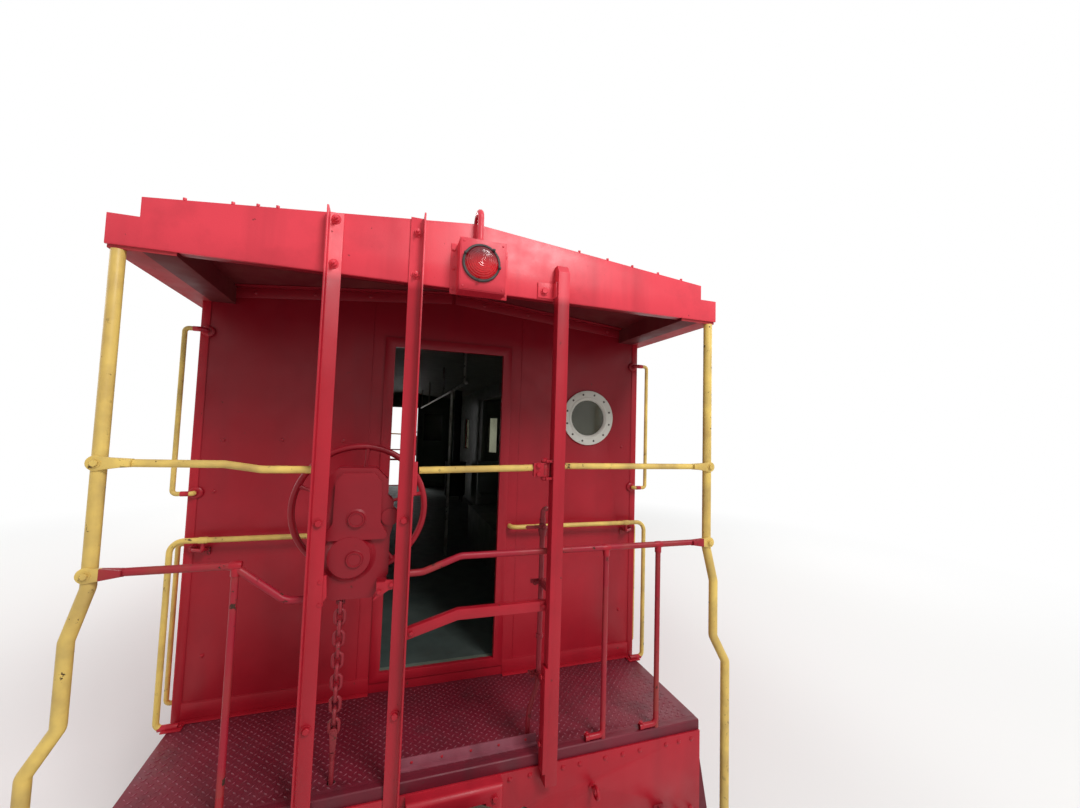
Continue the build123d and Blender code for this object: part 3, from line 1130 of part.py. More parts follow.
def main():
    """Write every node."""
    os.makedirs("parts", exist_ok=True)
    turn = Rot(0, 0, 180)
    raised = Pos(0, 0, DECK_HEIGHT)
    places = {"a": Pos(HALF_BODY, 0, DECK_HEIGHT), "b": turn * Pos(HALF_BODY, 0, DECK_HEIGHT)}
    for name, make in END_NODES.items():
        for end, place in places.items():
            save(f"{name}_{end}", place * make())
    for name, make in PAIRED_NODES.items():
        save(name, places["a"] * make() + places["b"] * make())
    for end, place in places.items():
        save(f"door_{end}", place * swing_open(door_leaf() + door_knob()))
        save(f"door_glass_{end}", place * swing_open(door_pane()))

    trucks = {"a": Pos(TRUCK_CENTRE, 0, 0), "b": turn * Pos(TRUCK_CENTRE, 0, 0)}
    for end, place in trucks.items():
        for name, make in TRUCK_NODES.items():
            save(f"{name}_{end}", place * make())
        for number, x in ((1, WHEELBASE / 2), (2, -WHEELBASE / 2)):
            save(f"wheelset_{end}{number}", place * (Pos(x, 0, AXLE_Z) * wheelset()))

    right_wall, right_bay = side_wall(), bay()
    save("side_wall_right", raised * right_wall)
    save("side_wall_left", raised * mirror(right_wall, about=Plane.XZ))
    save("bay_right", raised * right_bay)
    save("bay_left", raised * mirror(right_bay, about=Plane.XZ))
    frames, panes = None, None
    for window in WALL_WINDOWS + BAY_WINDOWS:
        frames = window_frame(window) if frames is None else frames + window_frame(window)
        panes = window_pane(window) if panes is None else panes + window_pane(window)
    save("window_frames", raised * both_sides(frames))
    glass = raised * both_sides(panes)
    for place in places.values():
        glass += place * porthole_pane()
    save("window_glass", glass)
    save("roof", raised * roof())
    save("smoke_jack", raised * smoke_jack())
    floor = slab((-HALF_BODY + WALL, HALF_BODY - WALL), (-INNER_WIDE, INNER_WIDE),
                 (FLOOR_UNDER, FLOOR_TOP))
    save("cabin_floor", raised * floor)
    save("centre_sill", raised * centre_sill())
    save("side_sills", raised * side_sills())
    bolsters = Pos(TRUCK_CENTRE, 0, 0) * body_bolster() + Pos(-TRUCK_CENTRE, 0, 0) * body_bolster()
    save("body_bolsters", raised * bolsters)
    save("air_brake_gear", raised * air_reservoir())
    save("equipment_boxes", raised * battery_box())
    save("cabin_fittings", raised * cabin_fittings())
    save("stove", raised * stove())
    save("cabin_rails", raised * cabin_rails())


main()
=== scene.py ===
import json
import logging
import math
from dataclasses import dataclass
from enum import Enum
from typing import Callable, Iterable, Sequence

import bpy
from mathutils import Euler, Matrix, Vector

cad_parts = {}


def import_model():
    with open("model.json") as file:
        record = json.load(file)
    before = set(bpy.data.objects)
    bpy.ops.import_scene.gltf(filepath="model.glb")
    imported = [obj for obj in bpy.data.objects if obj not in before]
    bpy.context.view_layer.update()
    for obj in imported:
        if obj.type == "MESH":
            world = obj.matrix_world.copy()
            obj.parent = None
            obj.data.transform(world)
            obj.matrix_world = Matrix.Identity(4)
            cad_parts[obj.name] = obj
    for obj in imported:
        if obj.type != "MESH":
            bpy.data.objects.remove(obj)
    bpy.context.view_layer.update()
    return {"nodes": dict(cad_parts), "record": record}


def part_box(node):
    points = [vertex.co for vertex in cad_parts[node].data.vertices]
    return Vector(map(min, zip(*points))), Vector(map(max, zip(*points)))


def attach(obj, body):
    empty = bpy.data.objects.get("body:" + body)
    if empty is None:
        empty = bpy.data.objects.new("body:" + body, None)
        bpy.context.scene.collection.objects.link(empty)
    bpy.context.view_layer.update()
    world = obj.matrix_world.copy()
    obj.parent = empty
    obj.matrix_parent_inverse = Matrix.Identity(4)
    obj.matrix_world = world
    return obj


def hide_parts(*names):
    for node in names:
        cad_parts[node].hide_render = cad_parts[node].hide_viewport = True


# Dresses a bay-window caboose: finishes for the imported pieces, and the fittings, fastenings,
# tread plate and trim that lie on them. Metres; +X towards end a, Z up.

LOG = logging.getLogger("caboose")

Colour = tuple[float, float, float]
Point = tuple[float, float, float]
Pair = tuple[float, float]
Profile = Sequence[Pair]
Piece = bpy.types.Object
Socket = bpy.types.NodeSocket

# Driving sizes, the same as the frame's
HALF_BODY = 4.42
HALF_WIDE = 1.35
DECK = 1.12
PLATFORM = 0.747
TRUCK_CENTRE = 3.35
HALF_BASE = 0.84
AXLE_Z = 0.444
WALL = 0.076
ROOF_FALL = 0.09
ROOF_MIDDLE = 2.48
BAY_CEILING = 3.225
CABIN_CEILING = 3.548
BAY_SLANT = 0.764

# Base points: an end wall at deck height, the car's middle at deck height, a truck's centre
END = (HALF_BODY, 0.0, DECK)
CAR = (0.0, 0.0, DECK)
TRUCK = (TRUCK_CENTRE, 0.0, 0.0)
ORIGIN = (0.0, 0.0, 0.0)
OUT, RIGHT, UP = Vector((1.0, 0.0, 0.0)), Vector((0.0, 1.0, 0.0)), Vector((0.0, 0.0, 1.0))
HALF_TURN = Matrix.Rotation(math.pi, 4, "Z")
SIDES = (-1, 1)

# Camera solved from the photograph, and the photograph's frame in pixels
PHOTO_WIDE = 1080
FOCAL_PIXELS = 446.7
SENSOR_MM = 36.0
EYE = Vector((7.287, -0.364, 2.677))
YAW, PITCH, ROLL = 18.70, 3.48, 1.73


class Slot(Enum):
    """Material slots of the record."""

    RED = "red_paint"
    ROOF = "roof_paint"
    TREAD = "tread_plate"
    YELLOW = "yellow_paint"
    RING = "ring_paint"
    PANE = "pane"
    LENS = "red_lens"
    WORN = "weathered_steel"
    UNDER = "underframe_paint"
    CAST = "cast_steel"
    WHEEL = "wheel_steel"
    FLOOR = "cabin_floor_paint"
    CABIN = "cabin_paint"
    RAIL = "rail_steel"
    STOVE = "stove_iron"


class Axis(Enum):
    """Named directions."""

    X = 0
    Y = 1
    Z = 2


class Nodes:
    """Short calls for the nodes of a material or of the world."""

    def __init__(self, tree: bpy.types.NodeTree) -> None:
        """Work on one node tree."""
        self.tree = tree

    def node(self, kind: str, inputs: dict | None = None, **settings: object) -> bpy.types.Node:
        """Add a node.

        Args:
            kind: the node's type name.
            inputs: sockets or plain values by input name or number.
            settings: attributes of the node.

        Returns:
            The new node.
        """
        made = self.tree.nodes.new(kind)
        for key, value in settings.items():
            setattr(made, key, value)
        for key, value in (inputs or {}).items():
            self.feed(made.inputs[key], value)
        return made

    def feed(self, socket: Socket, value: object) -> None:
        """Link a socket to another, or set its plain value.

        Args:
            socket: the input.
            value: an output, a number or a colour.
        """
        if isinstance(value, Socket):
            self.tree.links.new(value, socket)
        elif isinstance(value, tuple) and len(value) == 3 and socket.type == "RGBA":
            socket.default_value = (*value, 1.0)
        else:
            socket.default_value = value

    def math(self, operation: str, first: object, second: object = 0.0) -> Socket:
        """Result of one arithmetic step."""
        return self.node("ShaderNodeMath", {0: first, 1: second}, operation=operation).outputs[0]

    def size(self, value: object) -> Socket:
        """Value without its sign."""
        return self.math("ABSOLUTE", value)

    def above(self, value: object, limit: float) -> Socket:
        """1 where a value is over a limit."""
        return self.math("GREATER_THAN", value, limit)

    def below(self, value: object, limit: float) -> Socket:
        """1 where a value is under a limit."""
        return self.math("LESS_THAN", value, limit)

    def between(self, value: object, low: float, high: float) -> Socket:
        """1 where a value lies in a range and 0 elsewhere."""
        inputs = {0: value, 1: (low + high) / 2, 2: (high - low) / 2}
        return self.node("ShaderNodeMath", inputs, operation="COMPARE").outputs[0]

    def span(self, value: object, low: float, high: float, to_low: float = 0.0,
             to_high: float = 1.0) -> Socket:
        """Map a value from one range to another, held at the ends."""
        return self.node("ShaderNodeMapRange", {0: value, 1: low, 2: high, 3: to_low, 4: to_high}).outputs[0]

    def chain(self, operation: str, values: Sequence[object]) -> Socket:
        """Several values put together by one operation.

        Args:
            operation: name of the math node's operation.
            values: numbers or sockets.

        Returns:
            The last node's value.
        """
        found = values[0]
        for value in values[1:]:
            found = self.math(operation, found, value)
        return found

    def most(self, *values: object) -> Socket:
        """Largest of several values."""
        return self.chain("MAXIMUM", values)

    def every(self, *values: object) -> Socket:
        """Product of several values."""
        return self.chain("MULTIPLY", values)

    def distance(self, first: Socket, second: Socket) -> Socket:
        """Length of the way made of two steps at right angles."""
        return self.math("SQRT", self.math("ADD", self.every(first, first), self.every(second, second)))

    def seen(self) -> Socket:
        """1 on rays from the camera, off shiny surfaces and through glass."""
        path = self.node("ShaderNodeLightPath")
        return self.most(*(path.outputs[f"Is {kind} Ray"] for kind in ("Camera", "Glossy", "Transmission")))


class Graph(Nodes):
    """A material and the nodes that feed its shader."""

    def __init__(self, name: str) -> None:
        """Start a material with its shader and its place split in three.

        Args:
            name: the material's name.
        """
        self.material = bpy.data.materials.new(name)
        self.material.use_nodes = True
        super().__init__(self.material.node_tree)
        self.shader = self.tree.nodes["Principled BSDF"]
        self.place = self.node("ShaderNodeTexCoord").outputs["Object"]
        self.x, self.y, self.z = self.node("ShaderNodeSeparateXYZ", {0: self.place}).outputs

    def shade(self, **values: object) -> None:
        """Feed the shader's inputs; underscores in a name stand for spaces."""
        for key, value in values.items():
            self.feed(self.shader.inputs[key.replace("_", " ")], value)

    def end_axes(self) -> tuple[Socket, Socket, Socket]:
        """Measure from the nearer end wall.

        Returns:
            Place out of the wall, to that end's right, and above the deck.
        """
        right = self.every(self.y, self.math("SIGN", self.x))
        out = self.math("SUBTRACT", self.size(self.x), HALF_BODY)
        return out, right, self.math("SUBTRACT", self.z, DECK)

    def noise(self, scale: float, detail: float = 2.0, stretch: Point | None = None,
              rough: float = 0.5) -> Socket:
        """Noise value.

        Args:
            scale: cells per metre.
            detail: octaves.
            stretch: factors along X, Y and Z, small where the pattern is long.
            rough: strength of the fine octaves.

        Returns:
            The noise socket.
        """
        place = self.place
        if stretch:
            place = self.node("ShaderNodeMapping", {"Vector": place, "Scale": stretch}).outputs[0]
        inputs = {"Vector": place, "Scale": scale, "Detail": detail, "Roughness": rough}
        return self.node("ShaderNodeTexNoise", inputs).outputs[0]

    def mix(self, factor: object, first: object, second: object) -> Socket:
        """Blend two colours.

        Args:
            factor: share of the second.
            first: one colour.
            second: the other.

        Returns:
            The blended colour.
        """
        made = self.node("ShaderNodeMix", data_type="RGBA")
        for index, value in ((0, factor), (6, first), (7, second)):
            self.feed(made.inputs[index], value)
        return made.outputs[2]

    def bump(self, height: object, depth: float, under: object = None) -> Socket:
        """Bump from a height, in metres of depth, on top of another one."""
        lower = {} if under is None else {"Normal": under}
        return self.node("ShaderNodeBump", {"Height": height, "Distance": depth, **lower}).outputs[0]

    def inside(self) -> Socket:
        """Mark the cabin's inner faces, bays included.

        Returns:
            1 inside and 0 outside.
        """
        across, along = self.size(self.y), self.size(self.x)
        room = self.every(self.below(along, HALF_BODY - WALL / 2), self.below(across, HALF_WIDE - WALL / 2))
        slant = self.math("ADD", along, self.every(self.math("SUBTRACT", across, HALF_WIDE), BAY_SLANT))
        bay = self.every(self.below(slant, 0.867), self.below(across, 1.60), self.below(self.z, BAY_CEILING))
        return self.every(self.most(room, bay), self.above(self.z, DECK + 0.05),
                          self.below(self.z, CABIN_CEILING))


@dataclass(frozen=True)
class Paint:
    """Brushed or sprayed paint on steel, faded, streaked and chipped."""

    name: str
    colour: Colour
    faded: Colour
    grime: Colour
    chip: Colour = (0.05, 0.02, 0.015)
    chipped: float = 0.0
    rough: float = 0.42
    streaks: float = 0.35
    dent: float = 0.0
    inner: Colour | None = None
    sheen: float = 1.36

    def tone(self, graph: Graph) -> Socket:
        """Colour of sound paint before grime and chips."""
        return graph.mix(graph.span(graph.noise(1.6, 4.0), 0.35, 0.68), self.colour, self.faded)

    def build(self) -> bpy.types.Material:
        """Make the material.

        Returns:
            The material.
        """
        graph = Graph(self.name)
        streak = graph.span(graph.noise(6.0, 3.0, (1.0, 1.0, 0.12)), 0.50, 0.78, 0.0, self.streaks)
        cloud = graph.span(graph.noise(3.1, 5.0, None, 0.62), 0.48, 0.74, 0.0, self.streaks * 0.8)
        dirt = graph.most(streak, cloud)
        painted = graph.mix(dirt, self.tone(graph), self.grime)
        fleck = graph.span(graph.noise(24.0, 6.0, None, 0.68), 0.70 - self.chipped, 0.715 - self.chipped)
        chips = graph.every(fleck, graph.span(graph.noise(2.3, 2.0), 0.40, 0.55))
        painted = graph.mix(chips, painted, self.chip)
        if self.inner:
            shell = graph.mix(dirt, self.inner, tuple(0.7 * part for part in self.inner))
            painted = graph.mix(graph.inside(), painted, shell)
        rough = graph.span(graph.noise(9.0, 3.0), 0.3, 0.7, self.rough - 0.07, self.rough + 0.09)
        skin = graph.bump(graph.noise(190.0, 2.0), 0.00035)
        flake = graph.bump(graph.math("SUBTRACT", 1.0, chips), 0.0006, skin)
        if self.dent:
            flake = graph.bump(graph.noise(2.2, 1.0), self.dent, flake)
        graph.shade(Base_Color=painted, Roughness=graph.math("ADD", rough, graph.every(chips, 0.35)),
                    Normal=flake, IOR=self.sheen)
        return graph.material


@dataclass(frozen=True)
class BodyPaint(Paint):
    """Body paint with painted shade under the canopy and on the brake castings, and painted sunlight on the
    fascias.
    """

    # painted shade: dark red laid under the canopy and on the brake castings
    deep: Colour = (0.19, 0.0025, 0.009)
    # painted sunlight: pale coral laid on the fascias, and mixed at side_fade over the outer sides
    sunlit_and_pale: Colour = (0.68, 0.045, 0.068)
    side_fade: float = 0.30

    def tone(self, graph: Graph) -> Socket:
        """Colour with painted shade under the canopy and on the brake castings, and painted sunlight on the
        fascias.

        Args:
            graph: the material being built.

        Returns:
            The colour socket.
        """
        along, right, up = graph.end_axes()
        across = graph.size(right)
        height = graph.math("ADD", up, graph.every(across, ROOF_FALL))
        # painted shade under the canopy, darker towards the roof
        canopy_shade = graph.every(graph.between(along, -0.03, 0.7345), graph.span(up, 0.55, 2.10, 0.0, 0.9),
                             graph.below(height, ROOF_MIDDLE), graph.below(across, HALF_WIDE - 0.04))
        # painted shade on the brake castings
        brake = graph.every(graph.between(along, 0.50, 0.7345), graph.between(right, -0.66, -0.25),
                            graph.between(up, 0.75, 1.50), 0.8)
        base = graph.mix(graph.most(canopy_shade, brake), super().tone(graph), self.deep)
        # painted sunlight on the fascias and on what stands beyond the end wall at their height and above
        fascia = graph.every(graph.above(along, 0.7355), graph.span(up, 2.19, 2.235))
        side = graph.every(graph.above(across, HALF_WIDE - 0.006), self.side_fade)
        return graph.mix(graph.most(fascia, side), base, self.sunlit_and_pale)


@dataclass(frozen=True)
class RailPaint(Paint):
    """Yellow on posts, top rails and grab irons, red on mid rails, pickets and the irons' feet."""

    second: Colour = (0.30, 0.008, 0.022)

    def tone(self, graph: Graph) -> Socket:
        """Yellow or red by place.

        Args:
            graph: the material being built.

        Returns:
            The colour socket.
        """
        yellow = graph.mix(graph.span(graph.noise(7.0, 4.0), 0.40, 0.66), self.colour, self.faded)
        along, right, up = graph.end_axes()
        across = graph.size(right)
        high = graph.above(up, 1.30)
        bright = graph.most(graph.below(along, 0.30), graph.above(across, 1.352), high)
        hinge = graph.every(graph.between(along, 0.70, 0.82), graph.between(right, 0.317, 0.43), high)
        legs = graph.every(graph.between(along, -0.035, 0.062), graph.between(across, 1.20, 1.352), high)
        stub = graph.every(graph.between(along, -0.02, 0.09), graph.between(across, 1.20, 1.30),
                           graph.between(up, 0.80, 0.9215))
        foot = graph.every(graph.between(across, 1.25, 1.362), graph.below(up, 0.035))
        red = graph.most(graph.math("SUBTRACT", 1.0, bright), hinge, legs, stub, foot)
        return graph.mix(red, yellow, self.second)


@dataclass(frozen=True)
class TreadPaint(Paint):
    """Worn paint on diamond plate, lighter on the tops of the diamonds from wear and painted highlight."""

    # wear and painted highlight on the diamonds' tops
    worn_and_highlit: Colour = (0.30, 0.085, 0.115)
    height: float = 0.0018

    def tone(self, graph: Graph) -> Socket:
        """Deck red, lighter on the raised pattern from wear where feet rub it and from painted highlight.

        Args:
            graph: the material being built.

        Returns:
            The colour socket.
        """
        ground = graph.mix(graph.span(graph.noise(1.4, 4.0), 0.35, 0.68), self.colour, self.faded)
        top = graph.span(graph.z, DECK + self.height * 0.55, DECK + self.height)
        rub = graph.span(graph.noise(5.0, 4.0), 0.32, 0.62, 0.40, 1.0)
        # lighter tops: wear and painted highlight
        return graph.mix(graph.every(top, rub), ground, self.worn_and_highlit)


@dataclass(frozen=True)
class Rust:
    """Bare or thinly painted iron with rust and dust."""

    name: str
    colour: Colour
    rusty: Colour
    dust: Colour
    rough: float = 0.72
    metallic: float = 0.0
    grain: float = 0.0012
    scale: float = 7.0
    start: float = 0.42
    film: float = 0.6
    spread: Pair = (0.12, 0.14)

    def polished(self, graph: Graph) -> Socket | None:
        """Where wear keeps the metal bright; nowhere on plain iron."""
        return None

    def build(self) -> bpy.types.Material:
        """Make the material.

        Returns:
            The material.
        """
        graph = Graph(self.name)
        rust = graph.span(graph.noise(self.scale, 6.0, None, 0.65), self.start, 0.62)
        film = graph.span(graph.noise(2.1, 4.0), 0.45, 0.75, 0.0, self.film)
        base = graph.mix(film, graph.mix(rust, self.colour, self.rusty), self.dust)
        smooth, coarse = self.spread
        rough = graph.span(graph.noise(30.0, 4.0), 0.3, 0.7, self.rough - smooth, self.rough + coarse)
        metallic, bright = self.metallic, self.polished(graph)
        if bright is not None:
            base = graph.mix(bright, base, (0.42, 0.40, 0.38))
            rough = graph.math("SUBTRACT", rough, graph.every(bright, 0.36))
            metallic = bright
        skin = graph.bump(graph.noise(70.0, 5.0, None, 0.6), self.grain)
        graph.shade(Base_Color=base, Roughness=rough, Normal=skin, Metallic=metallic)
        return graph.material


@dataclass(frozen=True)
class WheelFinish(Rust):
    """Rusty wheel plate and axle with a bright tread."""

    tread: float = 0.407
    scale: float = 9.0
    start: float = 0.40
    film: float = 0.5
    spread: Pair = (0.08, 0.12)

    def polished(self, graph: Graph) -> Socket:
        """Mark the bright face beyond the tread's radius.

        Args:
            graph: the material's nodes.

        Returns:
            1 on the bright face and 0 elsewhere.
        """
        along = graph.size(graph.math("SUBTRACT", graph.size(graph.x), TRUCK_CENTRE))
        away = graph.distance(graph.math("SUBTRACT", along, HALF_BASE),
                              graph.math("SUBTRACT", graph.z, AXLE_Z))
        return graph.span(away, self.tread, self.tread + 0.004)


@dataclass(frozen=True)
class Glass:
    """Pane with a dust film."""

    name: str
    colour: Colour
    dust: Colour
    film: float
    rough: float = 0.04
    clear: float = 1.0

    def build(self) -> bpy.types.Material:
        """Make the material.

        Returns:
            The material.
        """
        graph = Graph(self.name)
        haze = graph.span(graph.noise(6.0, 5.0, (1.0, 1.0, 0.4)), 0.35, 0.75, self.film * 0.3, self.film)
        graph.shade(Base_Color=graph.mix(haze, self.colour, self.dust), IOR=1.46,
                    Roughness=graph.math("ADD", graph.every(haze, 0.35), self.rough),
                    Transmission_Weight=graph.span(haze, 0.0, 1.0, self.clear, 0.0))
        return graph.material


@dataclass(frozen=True)
class LensGlass(Glass):
    """Ribbed signal lens, bright low down and dark at the top: painted light and shade."""

    # painted shade: the lens's colour at the top
    dark: Colour = (0.16, 0.004, 0.012)
    middle: Pair = (0.012, 2.328)
    rib: float = 0.0085

    def build(self) -> bpy.types.Material:
        """Make the material.

        Returns:
            The material.
        """
        graph = Graph(self.name)
        _, right, up = graph.end_axes()
        aside = graph.math("SUBTRACT", right, self.middle[0])
        above = graph.math("SUBTRACT", up, self.middle[1])
        wave = graph.math("SINE", graph.every(graph.distance(aside, above), 2 * math.pi / self.rib))
        # painted light and shade: bright low down, darkening towards the top
        painted_light_tint = graph.mix(graph.span(above, -0.025, 0.040), self.colour, self.dark)
        haze = graph.span(graph.noise(14.0, 5.0), 0.40, 0.75, 0.0, self.film)
        graph.shade(Base_Color=graph.mix(haze, painted_light_tint, self.dust), Roughness=self.rough, IOR=1.50,
                    Normal=graph.bump(wave, 0.0007), Transmission_Weight=self.clear)
        return graph.material


FINISHES = {
    # inner colour (0.13, 0.15, 0.12) is darker than the cabin's pale green paint: partly painted shade of
    # the dim cabin
    Slot.RED: BodyPaint("red_paint", (0.34, 0.005, 0.015), (0.41, 0.012, 0.025), (0.13, 0.006, 0.011),
                        (0.09, 0.020, 0.016), 0.02, 0.38, 0.34, 0.004, (0.13, 0.15, 0.12)),
    # roof paint: its dark colour is painted shade under the canopy, its pale colour painted sunlight on the
    # fascias
    Slot.ROOF: BodyPaint("roof_paint", (0.34, 0.014, 0.022), (0.42, 0.034, 0.042), (0.14, 0.030, 0.025),
                         (0.10, 0.04, 0.03), 0.03, 0.58, 0.55, 0.004, (0.24, 0.24, 0.20),
                         deep=(0.075, 0.003, 0.006), sunlit_and_pale=(0.42, 0.034, 0.042)),
    Slot.TREAD: TreadPaint("tread_plate", (0.120, 0.006, 0.016), (0.165, 0.013, 0.027),
                           (0.052, 0.014, 0.019), (0.07, 0.035, 0.03), 0.03, 0.50, 0.6),
    Slot.YELLOW: RailPaint("yellow_paint", (0.74, 0.52, 0.130), (0.52, 0.36, 0.105), (0.21, 0.080, 0.036),
                           (0.045, 0.020, 0.012), 0.075, 0.46, 0.5),
    Slot.RING: Paint("ring_paint", (0.62, 0.61, 0.56), (0.54, 0.52, 0.46), (0.30, 0.27, 0.22),
                     (0.16, 0.12, 0.10), 0.03, 0.44, 0.4),
    Slot.PANE: Glass("pane", (0.27, 0.28, 0.20), (0.11, 0.105, 0.070), 0.34),
    Slot.LENS: LensGlass("red_lens", (0.72, 0.002, 0.010), (0.30, 0.06, 0.07), 0.10, 0.09, 0.15),
    Slot.WORN: Paint("weathered_steel", (0.30, 0.010, 0.024), (0.23, 0.018, 0.026), (0.10, 0.020, 0.018),
                     (0.07, 0.030, 0.020), 0.06, 0.46, 0.55),
    Slot.UNDER: Rust("underframe_paint", (0.028, 0.026, 0.026), (0.060, 0.038, 0.028),
                     (0.10, 0.085, 0.070), 0.70),
    Slot.CAST: Rust("cast_steel", (0.075, 0.048, 0.036), (0.13, 0.060, 0.032), (0.14, 0.115, 0.09), 0.74),
    Slot.WHEEL: WheelFinish("wheel_steel", (0.10, 0.062, 0.045), (0.15, 0.066, 0.034),
                            (0.15, 0.12, 0.09), 0.70),
    Slot.FLOOR: Paint("cabin_floor_paint", (0.050, 0.068, 0.062), (0.072, 0.088, 0.078),
                      (0.030, 0.032, 0.028), (0.12, 0.10, 0.08), 0.04, 0.52, 0.6),
    # cabin paint darker than its pale green: partly painted shade of the dim cabin
    Slot.CABIN: Paint("cabin_paint", (0.10, 0.12, 0.10), (0.13, 0.15, 0.12), (0.06, 0.06, 0.05),
                      (0.10, 0.07, 0.05), 0.03, 0.42, 0.35),
    Slot.RAIL: Rust("rail_steel", (0.50, 0.49, 0.46), (0.30, 0.27, 0.24), (0.36, 0.34, 0.30),
                    0.38, 0.7, 0.0003),
    Slot.STOVE: Rust("stove_iron", (0.022, 0.021, 0.021), (0.040, 0.030, 0.026), (0.07, 0.06, 0.055), 0.62),
}


class Palette:
    """Builds each finish once and hands out its material."""

    def __init__(self) -> None:
        """Build all finishes."""
        self.made = {slot: finish.build() for slot, finish in FINISHES.items()}

    def dress(self, piece: Piece, slot: Slot) -> None:
        """Give a piece one finish."""
        piece.data.materials.clear()
        piece.data.materials.append(self.made[slot])


def alone() -> None:
    """Leave edit mode and deselect everything."""
    if bpy.context.mode != "OBJECT":
        bpy.ops.object.mode_set(mode="OBJECT")
    bpy.ops.object.select_all(action="DESELECT")


def hold(piece: Piece) -> None:
    """Select one piece and make it active.

    Args:
        piece: the piece.
    """
    alone()
    piece.select_set(True)
    bpy.context.view_layer.objects.active = piece


def settle() -> Piece:
    """Move the new piece's place into its mesh.

    Returns:
        The piece.
    """
    bpy.ops.object.transform_apply(location=True, rotation=True, scale=True)
    return bpy.context.object


def facing(way: Vector) -> Euler:
    """Turn that brings a primitive's Z to a direction."""
    return way.to_track_quat("Z", "Y").to_euler()


def eased(piece: Piece, width: float, steps: int = 2, angle: float = 35.0) -> Piece:
    """Round the sharp edges of a piece and shade it by angle.

    Args:
        piece: the piece.
        width: width of the rounding.
        steps: facets across it.
        angle: edges sharper than this are rounded, in degrees.

    Returns:
        The same piece.
    """
    hold(piece)
    if width > 0:
        soften = piece.modifiers.new("edges", "BEVEL")
        soften.width = width
        soften.segments = steps
        soften.limit_method = "ANGLE"
        soften.angle_limit = math.radians(angle)
        bpy.ops.object.modifier_apply(modifier=soften.name)
    bpy.ops.object.shade_smooth_by_angle(angle=math.radians(angle))
    return piece


def joined(name: str, pieces: Iterable[Piece]) -> Piece:
    """Join pieces into one.

    Args:
        name: name of the result.
        pieces: what is joined.

    Returns:
        The joined piece.
    """
    pieces = list(pieces)
    hold(pieces[0])
    for piece in pieces[1:]:
        piece.select_set(True)
    if len(pieces) > 1:
        bpy.ops.object.join()
    made = bpy.context.object
    made.name = made.data.name = name
    return made


def copied(piece: Piece, place: Matrix, name: str = "copy") -> Piece:
    """Copy of a piece with its own mesh, moved by a matrix inside the mesh.

    Args:
        piece: what is copied.
        place: the move.
        name: name of the copy.

    Returns:
        The copy.
    """
    twin = piece.copy()
    twin.data = piece.data.copy()
    twin.name = twin.data.name = name
    twin.data.transform(place)
    bpy.context.collection.objects.link(twin)
    return twin


def scattered(seed: Piece, places: Iterable[Point]) -> Piece:
    """Copies of a seed at many places, joined; the seed itself goes.

    Args:
        seed: piece modelled at the origin.
        places: where the copies stand.

    Returns:
        The joined piece.
    """
    made = [copied(seed, Matrix.Translation(place)) for place in places]
    bpy.data.objects.remove(seed)
    return joined("scattered", made)


def slide(piece: Piece, chosen: Callable[[Vector], bool], shift: Point) -> None:
    """Move the points whose place passes a test.

    Args:
        piece: the piece.
        chosen: the test.
        shift: the move.
    """
    hold(piece)
    bpy.ops.object.mode_set(mode="EDIT")
    bpy.ops.mesh.select_mode(type="VERT")
    bpy.ops.mesh.select_all(action="DESELECT")
    bpy.ops.object.mode_set(mode="OBJECT")
    for vertex in piece.data.vertices:
        vertex.select = chosen(vertex.co)
    bpy.ops.object.mode_set(mode="EDIT")
    bpy.ops.transform.translate(value=shift)
    bpy.ops.object.mode_set(mode="OBJECT")


def block(low: Point, high: Point, edge: float) -> Piece:
    """Box between two corners with rounded edges.

    Args:
        low: its low corner.
        high: its high corner.
        edge: width of the rounding.

    Returns:
        The box.
    """
    alone()
    middle = [(a + b) / 2 for a, b in zip(low, high)]
    size = [b - a for a, b in zip(low, high)]
    bpy.ops.mesh.primitive_cube_add(size=1.0, location=middle, scale=size)
    return eased(settle(), min(edge, min(size) * 0.3))


def drum(start: Point, end: Point, radius: float, sides: int = 24, edge: float = 0.001) -> Piece:
    """Round bar between two points with rounded rims.

    Args:
        start: middle of one end.
        end: middle of the other.
        radius: its radius.
        sides: facets round it.
        edge: width of the rims' rounding.

    Returns:
        The bar.
    """
    alone()
    first, last = Vector(start), Vector(end)
    along = last - first
    bpy.ops.mesh.primitive_cylinder_add(vertices=sides, radius=radius, depth=along.length,
                                        location=(first + last) / 2, rotation=facing(along))
    return eased(settle(), min(edge, radius * 0.3))


def bolt(axis: Vector, radius: float, washer: bool = True) -> Piece:
    """Hexagon head on a washer, standing out of the origin.

    Args:
        axis: direction out of the seat.
        radius: radius across the head's corners.
        washer: whether a round washer lies under it.

    Returns:
        The head.
    """
    height, base = radius * 0.75, radius * 0.22 if washer else 0.0
    parts = []
    for sides, wide, tall, low in ((6, radius, height, base), (14, radius * 1.35, base, 0.0)):
        if tall > 0:
            alone()
            bpy.ops.mesh.primitive_cylinder_add(vertices=sides, radius=wide, depth=tall,
                                                location=axis * (low + tall / 2), rotation=facing(axis))
            parts.append(settle())
    eased(parts[0], radius * 0.12, 1)
    return joined("bolt", parts)


